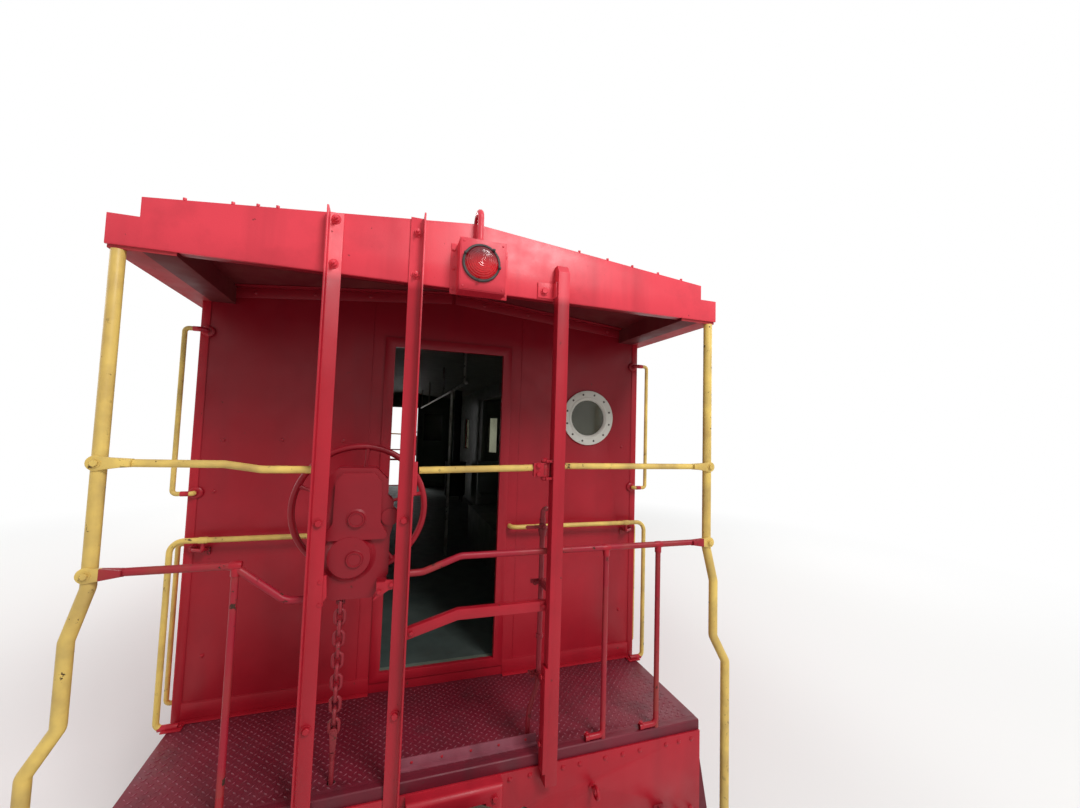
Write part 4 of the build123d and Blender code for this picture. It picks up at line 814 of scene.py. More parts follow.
def outlined(places: Sequence[Vector], filled: bool, pull: Callable[[], object]) -> Piece:
    """Outline of a circle primitive set to given corners, then pulled or spun to a body.

    Args:
        places: the corners.
        filled: whether the outline gets a face.
        pull: the operator that makes the body from the selected outline.

    Returns:
        The body, with its faces outwards.
    """
    alone()
    bpy.ops.mesh.primitive_circle_add(vertices=len(places), fill_type="NGON" if filled else "NOTHING")
    piece = settle()
    for vertex, place in zip(piece.data.vertices, places):
        vertex.co = place
    bpy.ops.object.mode_set(mode="EDIT")
    bpy.ops.mesh.select_all(action="SELECT")
    pull()
    bpy.ops.mesh.select_all(action="SELECT")
    bpy.ops.mesh.remove_doubles(threshold=0.00002)
    bpy.ops.mesh.normals_make_consistent(inside=False)
    bpy.ops.object.mode_set(mode="OBJECT")
    return piece


def plate(outline: Profile, normal: Axis, low: float, high: float, edge: float) -> Piece:
    """Flat plate with a given outline, pulled to its thickness.

    Args:
        outline: corners in the two other coordinates, in X, Y, Z order.
        normal: the direction of the thickness.
        low: place of one face.
        high: place of the other.
        edge: width of the edges' rounding.

    Returns:
        The plate.
    """
    corners = []
    for first, second in outline:
        place = [first, second]
        place.insert(normal.value, low)
        corners.append(Vector(place))
    step = [0.0, 0.0, 0.0]
    step[normal.value] = high - low
    piece = outlined(corners, True, lambda: bpy.ops.mesh.extrude_region_move(
        TRANSFORM_OT_translate={"value": step}))
    return eased(piece, edge)


def turned(profile: Profile, centre: Point, axis: Vector, steps: int = 32) -> Piece:
    """Round piece spun from a closed half profile.

    Args:
        profile: pairs of distance along the axis and radius.
        centre: start of the axis.
        axis: its direction.
        steps: facets round the piece.

    Returns:
        The piece.
    """
    across = axis.orthogonal().normalized()
    start = Vector(centre)
    places = [start + axis * along + across * radius for along, radius in profile]
    piece = outlined(places, False, lambda: bpy.ops.mesh.spin(
        steps=steps, angle=2 * math.pi, center=start, axis=axis))
    return eased(piece, 0.0, angle=32.0)


def rounded(points: Sequence[Point], bend: float, steps: int = 6) -> list[Vector]:
    """Route through points with its corners rounded.

    Args:
        points: corners of the route.
        bend: radius of the corners.
        steps: facets in a corner.

    Returns:
        Points of the rounded route.
    """
    route = [Vector(points[0])]
    for before, here, after in zip(*(map(Vector, points[start:]) for start in range(3))):
        back, on = before - here, after - here
        reach = min(bend, 0.45 * min(back.length, on.length))
        first, last = here + back.normalized() * reach, here + on.normalized() * reach
        for part in (step / steps for step in range(steps + 1)):
            route.append(first * (1 - part) ** 2 + here * 2 * part * (1 - part) + last * part ** 2)
    return route + [Vector(points[-1])]


def bent(points: Sequence[Point], radius: float, bend: float = 0.04, sides: int = 4) -> Piece:
    """Round rod along straight runs with rounded corners.

    Args:
        points: corners of the route.
        radius: radius of the rod.
        bend: radius of the corners.
        sides: fineness of the round section.

    Returns:
        The rod as a mesh.
    """
    data = bpy.data.curves.new("rod", "CURVE")
    data.dimensions = "3D"
    data.bevel_depth = radius
    data.bevel_resolution = sides
    data.use_fill_caps = True
    line = data.splines.new("POLY")
    route = rounded(points, bend)
    line.points.add(len(route) - 1)
    for point, place in zip(line.points, route):
        point.co = (*place, 1.0)
    piece = bpy.data.objects.new("rod", data)
    bpy.context.collection.objects.link(piece)
    hold(piece)
    bpy.ops.object.convert(target="MESH")
    return eased(bpy.context.object, 0.0, angle=50.0)


class Bench:
    """Gathers the parts of one piece, each placed from a base point."""

    def __init__(self, base: Point = END) -> None:
        """Start an empty bench at a base point."""
        self.base = base
        self.parts: list[Piece] = []

    def at(self, spot: Sequence[float]) -> Point:
        """Place in the car's frame."""
        return tuple(start + step for start, step in zip(self.base, spot))

    def slab(self, x: Pair, y: Pair, z: Pair, edge: float = 0.0015) -> None:
        """Add a box between pairs of places, in either order."""
        low, high = zip(*(sorted(pair) for pair in (x, y, z)))
        self.parts.append(block(self.at(low), self.at(high), edge))

    def around(self, spot: Point, half: Point, edge: float = 0.0015) -> None:
        """Add a box round its middle."""
        self.slab(*((middle - reach, middle + reach) for middle, reach in zip(spot, half)), edge)

    def rod(self, start: Point, end: Point, radius: float, sides: int = 24, edge: float = 0.001) -> None:
        """Add a straight round bar."""
        self.parts.append(drum(self.at(start), self.at(end), radius, sides, edge))

    def pipe(self, points: Sequence[Point], radius: float, bend: float = 0.04, sides: int = 4) -> None:
        """Add a bent rod."""
        self.parts.append(bent([self.at(point) for point in points], radius, bend, sides))

    def ring(self, profile: Profile, spot: Point, axis: Vector, steps: int = 32) -> None:
        """Add a hollow turned piece."""
        self.parts.append(turned(profile, self.at(spot), axis, steps))

    def lathe(self, profile: Profile, spot: Point, axis: Vector, steps: int = 32) -> None:
        """Add a solid turned piece.

        Args:
            profile: places along the axis and radii, to be closed along the axis.
            spot: start of the axis, from the base.
            axis: its direction.
            steps: facets round the piece.
        """
        closed = [(profile[0][0], 0.0), *profile]
        if profile[-1][1] > 0:
            closed.append((profile[-1][0], 0.0))
        self.ring(closed, spot, axis, steps)

    def plate(self, outline: Profile, normal: Axis, low: float, high: float, edge: float = 0.001) -> None:
        """Add a plate pulled from its outline.

        Args:
            outline: corners in the two other coordinates, from the base.
            normal: direction of the thickness.
            low: place of one face.
            high: place of the other.
            edge: width of the edges' rounding.
        """
        start = self.base[normal.value]
        first, second = (self.base[other.value] for other in Axis if other is not normal)
        places = [(first + a, second + b) for a, b in outline]
        self.parts.append(plate(places, normal, start + low, start + high, edge))

    def scatter(self, seed: Piece, seats: Iterable[Point]) -> None:
        """Add copies of a piece modelled at the origin."""
        self.parts.append(scattered(seed, [self.at(seat) for seat in seats]))

    def nuts(self, seats: Iterable[Point], axis: Vector, radius: float, washer: bool = True) -> None:
        """Add hexagon heads."""
        self.scatter(bolt(axis, radius, washer), seats)

    def heads(self, seats: Iterable[Point], axis: Vector, radius: float) -> None:
        """Add round rivet or screw heads.

        Args:
            seats: their places, from the base.
            axis: the way they point.
            radius: their radius.
        """
        profile = [(0.0, 0.0), (0.0, radius), (radius * 0.30, radius * 0.86), (radius * 0.50, radius * 0.5),
                   (radius * 0.56, 0.0)]
        self.scatter(turned(profile, ORIGIN, axis, 10), seats)

    def take(self, name: str) -> Piece:
        """Join what lies on the bench into one named piece."""
        return joined(name, self.parts)


class Fitter:
    """Puts finished pieces on their bodies and reports them."""

    def __init__(self, palette: Palette) -> None:
        """Keep the finishes."""
        self.palette = palette

    def fit(self, piece: Piece, body: str, slot: Slot, *replaced: str) -> None:
        """Dress a piece, ride it on a body and hide the CAD nodes that it replaces.

        Args:
            piece: the piece.
            body: the body it moves with.
            slot: its finish.
            replaced: CAD nodes that it replaces.
        """
        self.palette.dress(piece, slot)
        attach(piece, body)
        if replaced:
            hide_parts(*replaced)
        LOG.info("%s on %s: %d faces", piece.name, body, len(piece.data.polygons))

    def twins(self, bench: Bench, name: str, slot: Slot, body: str = "carbody",
              marks: Sequence[str] = ("a", "b")) -> None:
        """Fit a piece made at end a or on the right, and its copy turned half round.

        Args:
            bench: its parts.
            name: its name, before the marks.
            slot: its finish.
            body: the body; END in it becomes the mark.
            marks: ends of the two names.
        """
        piece = bench.take(f"{name}_{marks[0]}")
        twin = copied(piece, HALF_TURN, f"{name}_{marks[1]}")
        for made, mark in zip((piece, twin), marks):
            self.fit(made, body.replace("END", mark), slot)

    def instead(self, bench: Bench, name: str, slot: Slot, node: str) -> None:
        """Fit both ends' pieces as one, in place of a CAD node.

        Args:
            bench: the parts at end a.
            name: name of the whole.
            slot: its finish.
            node: the CAD node that it replaces.
        """
        whole = bench.take(name)
        self.fit(joined(name, [whole, copied(whole, HALF_TURN)]), "carbody", slot, node)


@dataclass
class StudioSet:
    """Floor, light, background and the photograph's camera."""

    floor_half: float = 60.0
    floor_colour: Colour = (0.82, 0.82, 0.81)
    floor_fade: Pair = (6.5, 13.0)
    sky: float = 0.50
    key: tuple[Point, Point, float, float] = ((11.8, 3.0, 9.8), (4.8, 0.0, 2.2), 3.0, 820.0)
    side: tuple[Point, Point, float, float] = ((0.0, -12.0, 7.0), (0.0, 0.0, 1.6), 7.0, 420.0)

    def floor(self) -> None:
        """Pale floor under the wheels that fades to the white backdrop far away."""
        alone()
        bpy.ops.mesh.primitive_plane_add(size=2 * self.floor_half, location=(0, 0, 0))
        ground = joined("studio_floor", [settle()])
        graph = Graph("studio_floor")
        graph.shade(Base_Color=self.floor_colour, Roughness=0.9)
        away = graph.node("ShaderNodeVectorMath", {0: graph.place}, operation="LENGTH").outputs["Value"]
        far = graph.node("ShaderNodeMapRange", {0: away, 1: self.floor_fade[0], 2: self.floor_fade[1]},
                         interpolation_type="SMOOTHSTEP").outputs[0]
        white = graph.node("ShaderNodeEmission", {"Color": (1.0, 1.0, 1.0), "Strength": 1.0})
        blend = graph.node("ShaderNodeMixShader", {0: graph.every(far, graph.seen()),
                                                   1: graph.shader.outputs[0], 2: white.outputs[0]})
        graph.feed(graph.tree.nodes["Material Output"].inputs["Surface"], blend.outputs[0])
        ground.data.materials.append(graph.material)

    def light(self) -> None:
        """Even pale sky, white where it is seen, with a large soft key and a fill for each side and end."""
        world = bpy.data.worlds.new("studio_sky")
        bpy.context.scene.world = world
        world.use_nodes = True
        nodes = Nodes(world.node_tree)
        backdrop = world.node_tree.nodes["Background"]
        nodes.feed(backdrop.inputs["Color"], (1.0, 1.0, 1.0))
        nodes.feed(backdrop.inputs["Strength"], nodes.span(nodes.seen(), 0.0, 1.0, self.sky, 1.0))
        for name, (spot, aim, size, watts) in (("key", self.key), ("side_left", self.side)):
            for far in (False, True):
                turn = HALF_TURN if far else Matrix.Identity(4)
                alone()
                here, there = turn @ Vector(spot), turn @ Vector(aim)
                bpy.ops.object.light_add(type="AREA", location=here,
                                         rotation=(there - here).to_track_quat("-Z", "Y").to_euler())
                lamp = bpy.context.object
                lamp.name = f"studio_{name}{'_far' if far else ''}"
                lamp.data.size = size
                lamp.data.energy = watts

    def camera(self) -> None:
        """Camera at the photograph's place, with its turn and lens."""
        yaw, pitch, roll = (math.radians(turn) for turn in (YAW, PITCH, ROLL))
        ahead = Vector((-math.cos(yaw) * math.cos(pitch), math.sin(yaw) * math.cos(pitch), math.sin(pitch)))
        level = Vector((math.sin(yaw), math.cos(yaw), 0.0))
        plumb = level.cross(ahead)
        right = math.cos(roll) * level + math.sin(roll) * plumb
        up = -math.sin(roll) * level + math.cos(roll) * plumb
        data = bpy.data.cameras.new("photo_camera")
        data.sensor_fit = "HORIZONTAL"
        data.sensor_width = SENSOR_MM
        data.lens = FOCAL_PIXELS / PHOTO_WIDE * SENSOR_MM
        data.clip_start = 0.02
        data.clip_end = 500.0
        eye = bpy.data.objects.new("photo_camera", data)
        bpy.context.collection.objects.link(eye)
        eye.matrix_world = Matrix.Translation(EYE) @ Matrix((right, up, -ahead)).transposed().to_4x4()
        bpy.context.scene.camera = eye

    def build(self) -> None:
        """Set the stage."""
        self.floor()
        self.light()
        self.camera()
        bpy.context.scene.view_settings.view_transform = "Standard"


@dataclass
class PackedPieces:
    """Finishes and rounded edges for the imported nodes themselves."""

    palette: Palette
    weld: float = 0.00002
    flat: float = 0.4
    edge: float = 0.002
    cast_edge: float = 0.011
    castings: tuple[str, ...] = ("brake_housings",)
    fine: tuple[str, ...] = ("brake_chains", "marker_lenses", "window_glass", "door_glass_a", "door_glass_b")

    def finish(self, node: str, piece: Piece, slot: Slot) -> None:
        """Dress one node and round its edges with live modifiers.

        Args:
            node: the node's name.
            piece: its object.
            slot: its finish.
        """
        self.palette.dress(piece, slot)
        piece.data.polygons.foreach_set("use_smooth", [True] * len(piece.data.polygons))
        piece.modifiers.new("merge", "WELD").merge_threshold = self.weld
        if node not in self.fine:
            plain = piece.modifiers.new("flats", "DECIMATE")
            plain.decimate_type = "DISSOLVE"
            plain.angle_limit = math.radians(self.flat)
            cast = node in self.castings
            soften = piece.modifiers.new("edges", "BEVEL")
            soften.width = self.cast_edge if cast else self.edge
            soften.segments = 4 if cast else 2
            soften.limit_method = "ANGLE"
            soften.angle_limit = math.radians(35.0)
        piece.modifiers.new("creases", "EDGE_SPLIT").split_angle = math.radians(40.0)

    def build(self, nodes: dict, record: dict) -> None:
        """Dress every node from the record's table.

        Args:
            nodes: the frame's objects by node name.
            record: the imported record.
        """
        slots = {row["node"]: Slot(row["material_slot"]) for row in record["subparts"]}
        for node, piece in nodes.items():
            self.finish(node, piece, slots[node])
            LOG.info("%s finished as %s", node, slots[node].value)


class Dress:
    """What every sub-assembly's dress has in common."""

    def build(self, fitter: Fitter) -> None:
        """Model the pieces and fit them.

        Args:
            fitter: puts finished pieces on their bodies.
        """
        raise NotImplementedError


@dataclass
class TreadDeck(Dress):
    """Raised diamonds of the tread plate on both platforms."""

    pitch: float = 0.041
    long: float = 0.030
    wide: float = 0.0095
    height: float = 0.0018
    top: float = 0.22
    margin: float = 0.012
    front: float = 0.010

    def seed(self, turn: float, place: Point) -> Piece:
        """One low diamond with a small flat top.

        Args:
            turn: its direction in the plate, in degrees.
            place: middle of its foot.

        Returns:
            The diamond.
        """
        alone()
        x, y, z = place
        bpy.ops.mesh.primitive_cone_add(vertices=4, radius1=0.5, radius2=self.top, depth=1.0,
                                        location=(x, y, z + self.height / 2),
                                        rotation=(0, 0, math.radians(turn)),
                                        scale=(self.long, self.wide, self.height))
        return settle()

    def build(self, fitter: Fitter) -> None:
        """Lay the pattern by two arrays each way.

        Args:
            fitter: puts finished pieces on their bodies.
        """
        low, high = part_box("platform_decks")
        first = self.margin + self.long / 2
        start = HALF_BODY + first
        end = HALF_BODY + PLATFORM - self.front - self.margin
        columns = int((end - start) / self.pitch)
        rows = int((high.y - low.y - 2 * self.margin) / self.pitch)
        bench = Bench()
        for turn, shift in ((45.0, 0.0), (-45.0, self.pitch / 2)):
            piece = self.seed(turn, (start + shift, low.y + first + shift, DECK))
            hold(piece)
            for count, step in ((columns, (self.pitch, 0, 0)), (rows, (0, self.pitch, 0))):
                spread = piece.modifiers.new("spread", "ARRAY")
                spread.use_relative_offset = False
                spread.use_constant_offset = True
                spread.constant_offset_displace = step
                spread.count = count - (1 if shift else 0)
                bpy.ops.object.modifier_apply(modifier=spread.name)
            bench.parts.append(piece)
        fitter.twins(bench, "tread_diamonds", Slot.TREAD)


@dataclass
class WallTrim(Dress):
    """Strips, seams and bolts on an end wall, and the angle under the roof."""

    strip: float = 0.040
    thick: float = 0.0035
    kick: float = 0.088
    jamb: float = 0.400
    seam: float = 0.468
    ridge: float = 2.420
    angle: float = 0.064
    bolts: tuple[Pair, ...] = ((-1.210, 1.457), (-0.926, 1.463), (-0.609, 1.464), (-1.235, 0.32),
                               (-1.235, 1.18), (1.235, 1.46), (1.235, 0.32))

    def roof_under(self, across: float) -> float:
        """Height of the roof's underside above the deck."""
        return self.ridge - ROOF_FALL * abs(across)

    def build(self, fitter: Fitter) -> None:
        """Model and fit the trim.

        Args:
            fitter: puts finished pieces on their bodies.
        """
        bench = Bench()
        top = self.roof_under(HALF_WIDE) - self.angle
        for side in SIDES:
            inner = side * (HALF_WIDE - self.strip)
            low = (side * self.jamb, inner)
            seam = side * self.seam
            for x, y, z, edge in ((self.thick, (inner, side * HALF_WIDE), (0.0, top), 0.0015),
                                  (0.0025, (inner - 0.003, inner + 0.003), (self.kick, top), 0.001),
                                  (self.thick, low, (0.0, self.kick), 0.0015),
                                  (0.0022, low, (self.kick, self.kick + 0.005), 0.0007),
                                  (0.034, low, (0.0, 0.005), 0.0015),
                                  (0.0015, (seam - 0.002, seam + 0.002), (self.kick, 2.30), 0.0006)):
                bench.slab((0.0, x), y, z, edge)
            for far, drop, near_x, far_x in ((HALF_WIDE, self.angle, 0.0, 0.006),
                                             (1.19, 0.009, 0.006, 0.058)):
                outline = [(side * y, self.roof_under(y) - down)
                           for y, down in ((0.01, 0.002), (far, 0.002), (far, drop), (0.01, drop))]
                bench.plate(outline, Axis.X, near_x, far_x)
        fitter.twins(bench, "wall_trim", Slot.RED)
        bolts = Bench()
        seats = [(0.0, y, z) for y, z in self.bolts]
        seats += [(0.006, side * y, self.roof_under(y) - 0.035)
                  for y in (0.2, 0.5, 0.8, 1.1) for side in SIDES]
        bolts.heads(seats, OUT, 0.011)
        fitter.twins(bolts, "wall_bolts", Slot.RED)


@dataclass
class CanopyTrim(Dress):
    """Fascia edge bolts, corner clips and edge angle of the roof over a platform."""

    peak: float = 2.557
    fall: float = 0.0977
    low_edge: float = 2.225
    bolts: tuple[float, ...] = (-1.182, -1.016, -0.926, -0.853, 0.549, 0.715, 0.867, 1.031, 1.185)

    def build(self, fitter: Fitter) -> None:
        """Model and fit the trim.

        Args:
            fitter: puts finished pieces on their bodies.
        """
        bench = Bench()
        bench.scatter(drum(ORIGIN, (0, 0, 0.012), 0.0075, 8),
                      [(PLATFORM - 0.005, y, self.peak - self.fall * abs(y) - 0.002) for y in self.bolts])
        for side in SIDES:
            bench.slab((PLATFORM - 0.05, PLATFORM - 0.012), (side * 1.4245, side * 1.410), (2.287, 2.312))
            bench.slab((PLATFORM - 0.052, PLATFORM - 0.010), (side * 0.03, side * 1.19),
                       (self.low_edge, self.low_edge + 0.006))
        fitter.twins(bench, "canopy_trim", Slot.RED)


@dataclass
class StileFittings(Dress):
    """Bolts and brackets of the ladder stiles and the gate post."""

    flange_y: Pair = (-0.622, -0.276)
    heights: tuple[float, ...] = (2.462, 2.262, 1.140, 0.300, -0.135)
    clip: float = 2.272

    def build(self, fitter: Fitter) -> None:
        """Model and fit the bolts.

        Args:
            fitter: puts finished pieces on their bodies.
        """
        bench = Bench()
        face = PLATFORM + 0.008
        seats = [(face, y, z) for y in self.flange_y for z in self.heights]
        bench.nuts(seats, OUT, 0.0155)
        bench.scatter(drum(ORIGIN, (0.032, 0, 0), 0.0075, 12), [seat for seat in seats if seat[2] > 2.0])
        clip = (self.clip - 0.040, self.clip + 0.040)
        bench.slab((PLATFORM, face), (0.322, 0.413), clip)
        bench.slab((PLATFORM, PLATFORM + 0.045), (0.405, 0.413), clip)
        bench.nuts([(face, 0.356, self.clip - 0.006)], OUT, 0.016)
        bench.nuts([(PLATFORM + 0.030, 0.399, z) for z in (0.07, 0.38)], -RIGHT, 0.013)
        bench.slab((PLATFORM, PLATFORM + 0.062), (0.398, 0.413), (0.424, 0.429))
        fitter.twins(bench, "stile_fittings", Slot.RED)


@dataclass
class RailFittings(Dress):
    """Forged eyes where rails meet the posts, collars and feet of the pickets."""

    post_y: float = 1.390
    rail_x: float = PLATFORM - 0.026
    heights: tuple[Pair, Pair] = ((1.388, 1.382), (0.975, 0.957))
    rail_r: float = 0.0155
    foot_r: float = 0.0143
    foot_z: float = 0.0145
    eye_r: float = 0.034
    reach: float = 0.105
    pickets: tuple[Point, ...] = ((-0.921, -1.010, 0.975), (0.755, 0.656, 0.957), (1.071, 0.970, 0.957))

    def eye(self, bench: Bench, side: int, height: float) -> None:
        """Flattened eye in front of the post, with the rail's taper and a bolt.

        Args:
            bench: where the parts go.
            side: -1 for the left post, 1 for the right.
            height: height of the rail.
        """
        x, centre = self.rail_x, side * self.post_y
        end = centre - side * self.reach
        outline = []
        for turn in (math.radians(60 + step * 20) for step in range(13)):
            outline.append((centre - side * self.eye_r * math.cos(turn) * 0.95,
                            height + self.eye_r * math.sin(turn) * 0.88))
        outline += [(end, height - self.rail_r * 0.75), (end, height + self.rail_r * 0.75)]
        bench.plate(outline, Axis.X, x + 0.014, x + 0.029, 0.004)
        bench.lathe([(0.0, 0.021), (0.075, self.rail_r + 0.001)], (x + 0.003, centre - side * 0.030, height),
                    RIGHT * -side, 20)
        bench.nuts([(x + 0.029, centre, height)], OUT, 0.013)
        bench.nuts([(x - 0.024, centre, height)], -OUT, 0.013)

    def build(self, fitter: Fitter) -> None:
        """Model and fit eyes, collars and feet.

        Args:
            fitter: puts finished pieces on their bodies.
        """
        eyes = Bench()
        for pair in self.heights:
            for side, height in zip(SIDES, pair):
                self.eye(eyes, side, height)
        fitter.twins(eyes, "rail_eyes", Slot.YELLOW)
        bench, x, low = Bench(), self.rail_x, self.foot_z
        thin, thick = self.rail_r + 0.0007, self.rail_r + 0.0028
        for y, toe, top in self.pickets:
            bench.rod((x, y, top - 0.042), (x, y, top - 0.010), 0.0175, 20)
            bench.lathe([(-0.022, thin), (-0.010, thick), (0.010, thick), (0.022, thin)],
                        (x, y, top), RIGHT, 20)
            bench.pipe([(x, y, 0.085), (x, y, low), (x, toe, low)], self.foot_r, 0.040, 5)
            bench.rod((x, toe, low), (x, toe + 0.024, low), 0.0158, 20, 0.003)
            bench.nuts([(x, toe + 0.010, low + 0.0150)], UP, 0.0100)
        fitter.twins(bench, "picket_fittings", Slot.RED)


@dataclass
class GrabFittings(Dress):
    """Bolted pads, tee and feet of the grab irons."""

    corner_y: float = 1.312
    corner_z: Pair = (2.047, 1.175)
    face: float = 0.0035
    wrap_x: float = 0.062
    wrap_z: float = 0.936
    tee_y: float = 1.247
    tee_drop: float = 0.056
    foot_y: float = 1.305
    side_x: float = -0.120
    side_z: Pair = (0.880, 0.040)

    def pad(self, bench: Bench, y: float, z: float, radius: float) -> None:
        """Round pad on the end wall with a bolt head in its middle.

        Args:
            bench: where the parts go.
            y: its place across.
            z: its height.
            radius: its radius.
        """
        bench.lathe([(0.0, radius), (0.006, radius), (0.010, radius * 0.86), (0.012, radius * 0.60)],
                    (self.face, y, z), OUT, 24)
        bench.nuts([(self.face + 0.012, y, z)], OUT, 0.0125)

    def build(self, fitter: Fitter) -> None:
        """Model and fit the pads.

        Args:
            fitter: puts finished pieces on their bodies.
        """
        red, yellow = Bench(), Bench()
        x, wrap, low = self.wrap_x, self.wrap_z, self.wrap_z - self.tee_drop
        for side in SIDES:
            for z in self.corner_z:
                self.pad(red, side * self.corner_y, z, 0.031)
                red.rod((0.045, side * 1.330, z), (0.045, side * 1.368, z), 0.0135, 20)
            self.pad(red, side * 1.308, low, 0.021)
            tee = side * self.tee_y
            red.pipe([(x, tee, wrap - 0.030), (x, tee, low), (0.030, side * 1.300, low),
                      (0.006, side * 1.308, low)], 0.0095, 0.02)
            yellow.lathe([(-0.022, 0.0150), (-0.018, 0.0168), (0.018, 0.0168), (0.022, 0.0150)],
                         (x, tee, wrap), RIGHT, 20)
            inner, start, end, outer = (side * (self.foot_y + more)
                                        for more in (-0.030, -0.010, 0.075, 0.057))
            red.slab((0.034, 0.092), (inner, outer), (0.0, 0.008), 0.003)
            red.rod((x, start, 0.014), (x, end, 0.014), 0.0152, 20)
            red.nuts([(x, side * (self.foot_y - 0.018), 0.008)], UP, 0.009)
            red.lathe([(0.0, 0.026), (0.007, 0.026), (0.009, 0.018)], (0.0, side * 0.418, wrap), OUT, 24)
            for z in self.side_z:
                red.lathe([(0.0, 0.027), (0.006, 0.027), (0.009, 0.016)], (self.side_x, side * HALF_WIDE, z),
                          RIGHT * side, 24)
        fitter.twins(red, "grab_pads", Slot.RED)
        fitter.twins(yellow, "grab_tees", Slot.YELLOW)


@dataclass
class MarkerLampDress(Dress):
    """Lid, flange screws, lens bezel and clips, and the conduit's collar of a marker lamp."""

    lens_y: float = 0.012
    lens_z: float = 2.328
    lens_r: float = 0.080
    face: float = PLATFORM + 0.095
    lip: float = 0.005
    span: Pair = (-0.088, 0.131)
    rise: Pair = (2.195, 2.441)
    clips: tuple[int, ...] = (50, 155, 262, 350)

    def build(self, fitter: Fitter) -> None:
        """Model and fit the lamp's dress.

        Args:
            fitter: puts finished pieces on their bodies.
        """
        bench, face = Bench(), self.face
        low, high = self.rise
        for y in (self.span[0] - 0.017, self.span[1] + 0.017):
            seats = [(PLATFORM + 0.004, y, low + share * (high - low)) for share in (0.10, 0.50, 0.88)]
            bench.nuts(seats, OUT, 0.0075)
        bench.ring([(-0.002, 0.0152), (-0.002, 0.0225), (0.010, 0.0225), (0.016, 0.0175), (0.026, 0.0152)],
                   (PLATFORM + 0.045, self.lens_y, high), UP, 24)
        wide, tall = ((start + self.lip, end - self.lip) for start, end in (self.span, self.rise))
        bench.slab((face - 0.001, face + 0.0025), wide, tall, 0.0012)
        bench.heads([(face + 0.0025, y, z) for y in (wide[0] + 0.012, wide[1] - 0.012)
                     for z in (tall[0] + 0.012, tall[1] - 0.012)], OUT, 0.0055)
        fitter.twins(bench, "lamp_fittings", Slot.RED)
        dark, inner, outer = Bench(), self.lens_r - 0.0005, self.lens_r + 0.0095
        dark.ring([(0.0, inner), (0.0, outer), (0.010, outer), (0.0145, outer - 0.0035), (0.0145, inner)],
                  (face, self.lens_y, self.lens_z), OUT, 48)
        for turn in map(math.radians, self.clips):
            y = self.lens_y + (self.lens_r + 0.006) * math.cos(turn)
            z = self.lens_z + (self.lens_r + 0.006) * math.sin(turn)
            dark.slab((face + 0.008, face + 0.021), (y - 0.006, y + 0.006), (z - 0.006, z + 0.006))
            dark.nuts([(face + 0.021, y, z)], OUT, 0.0045, False)
        fitter.twins(dark, "lamp_bezel", Slot.STOVE)


@dataclass
class Porthole(Dress):
    """Screws and the inner bead of a porthole's ring."""

    y: float = 0.964
    z: float = 1.660
    ring_r: float = 0.190
    glass_r: float = 0.133
    proud: float = 0.012
    screws: int = 12

    def build(self, fitter: Fitter) -> None:
        """Model and fit screws and bead.

        Args:
            fitter: puts finished pieces on their bodies.
        """
        middle = (self.ring_r + self.glass_r) / 2 + 0.004
        seats = []
        for turn in (math.radians(15 + number * 360 / self.screws) for number in range(self.screws)):
            seats.append((self.proud, self.y + middle * math.cos(turn), self.z + middle * math.sin(turn)))
        screws = Bench()
        screws.heads(seats, OUT, 0.0075)
        fitter.twins(screws, "ring_screws", Slot.UNDER)
        profile = ((-0.006, 0.001), (-0.006, -0.010), (0.004, -0.008), (self.proud + 0.003, 0.004),
                   (self.proud + 0.003, 0.010), (self.proud - 0.001, 0.014), (self.proud - 0.002, 0.001))
        bead = Bench()
        bead.ring([(x, self.glass_r + more) for x, more in profile], (0.0, self.y, self.z), OUT, 64)
        fitter.twins(bead, "ring_bead", Slot.RING)


@dataclass
class HandBrakeDress(Dress):
    """Fillets, rings, nuts and bolts of a hand-brake casting and its wheel's hub."""

    y: float = -0.481
    front: float = 0.680
    panel: float = 0.702
    bosses: Pair = (0.967, 1.141)
    hub: Point = (0.512, -0.470, 1.158)
    feet: tuple[Pair, ...] = ((-0.603, 0.893), (-0.600, 0.800), (-0.316, 0.860), (-0.366, 0.832))

    def build(self, fitter: Fitter) -> None:
        """Model and fit the dress.

        Args:
            fitter: puts finished pieces on their bodies.
        """
        bench, y = Bench(), self.y + 0.005
        for z in self.bosses:
            bench.ring([(0.0, 0.0262), (0.0035, 0.0285), (0.0035, 0.0325), (0.0, 0.0338)],
                       (self.panel + 0.010, y, z), OUT, 40)
            bench.ring([(0.0, 0.033), (0.0, 0.046), (0.004, 0.0375), (0.012, 0.0345), (0.012, 0.033)],
                       (self.panel, y, z), OUT, 40)
        bench.ring([(0.0, 0.086), (0.0, 0.112), (0.006, 0.100), (0.016, 0.0925), (0.0245, 0.0885),
                    (0.0245, 0.086)], (self.front, self.y - 0.018, self.bosses[0] + 0.008), OUT, 56)
        bench.nuts([(PLATFORM, *seat) for seat in self.feet], OUT, 0.0105)
        x, across, height = self.hub
        bench.ring([(0.0, 0.0155), (0.0, 0.029), (0.004, 0.033), (0.024, 0.036), (0.028, 0.042),
                    (0.028, 0.0155)], (0.573, across, height), OUT, 32)
        fitter.twins(bench, "hand_brake_fittings", Slot.RED)
        hub = Bench()
        hub.rod((x - 0.021, across, height), (x - 0.004, across, height), 0.026, 6, 0.002)
        hub.lathe([(0.0, 0.030), (0.0045, 0.033)], (x - 0.0045, across, height), OUT, 28)
        hub.ring([(0.0, 0.036), (0.0, 0.047), (0.010, 0.040), (0.010, 0.036)],
                 (x + 0.012, across, height), OUT, 32)
        fitter.twins(hub, "hand_wheel_hub", Slot.RED, "hand_wheel_END")


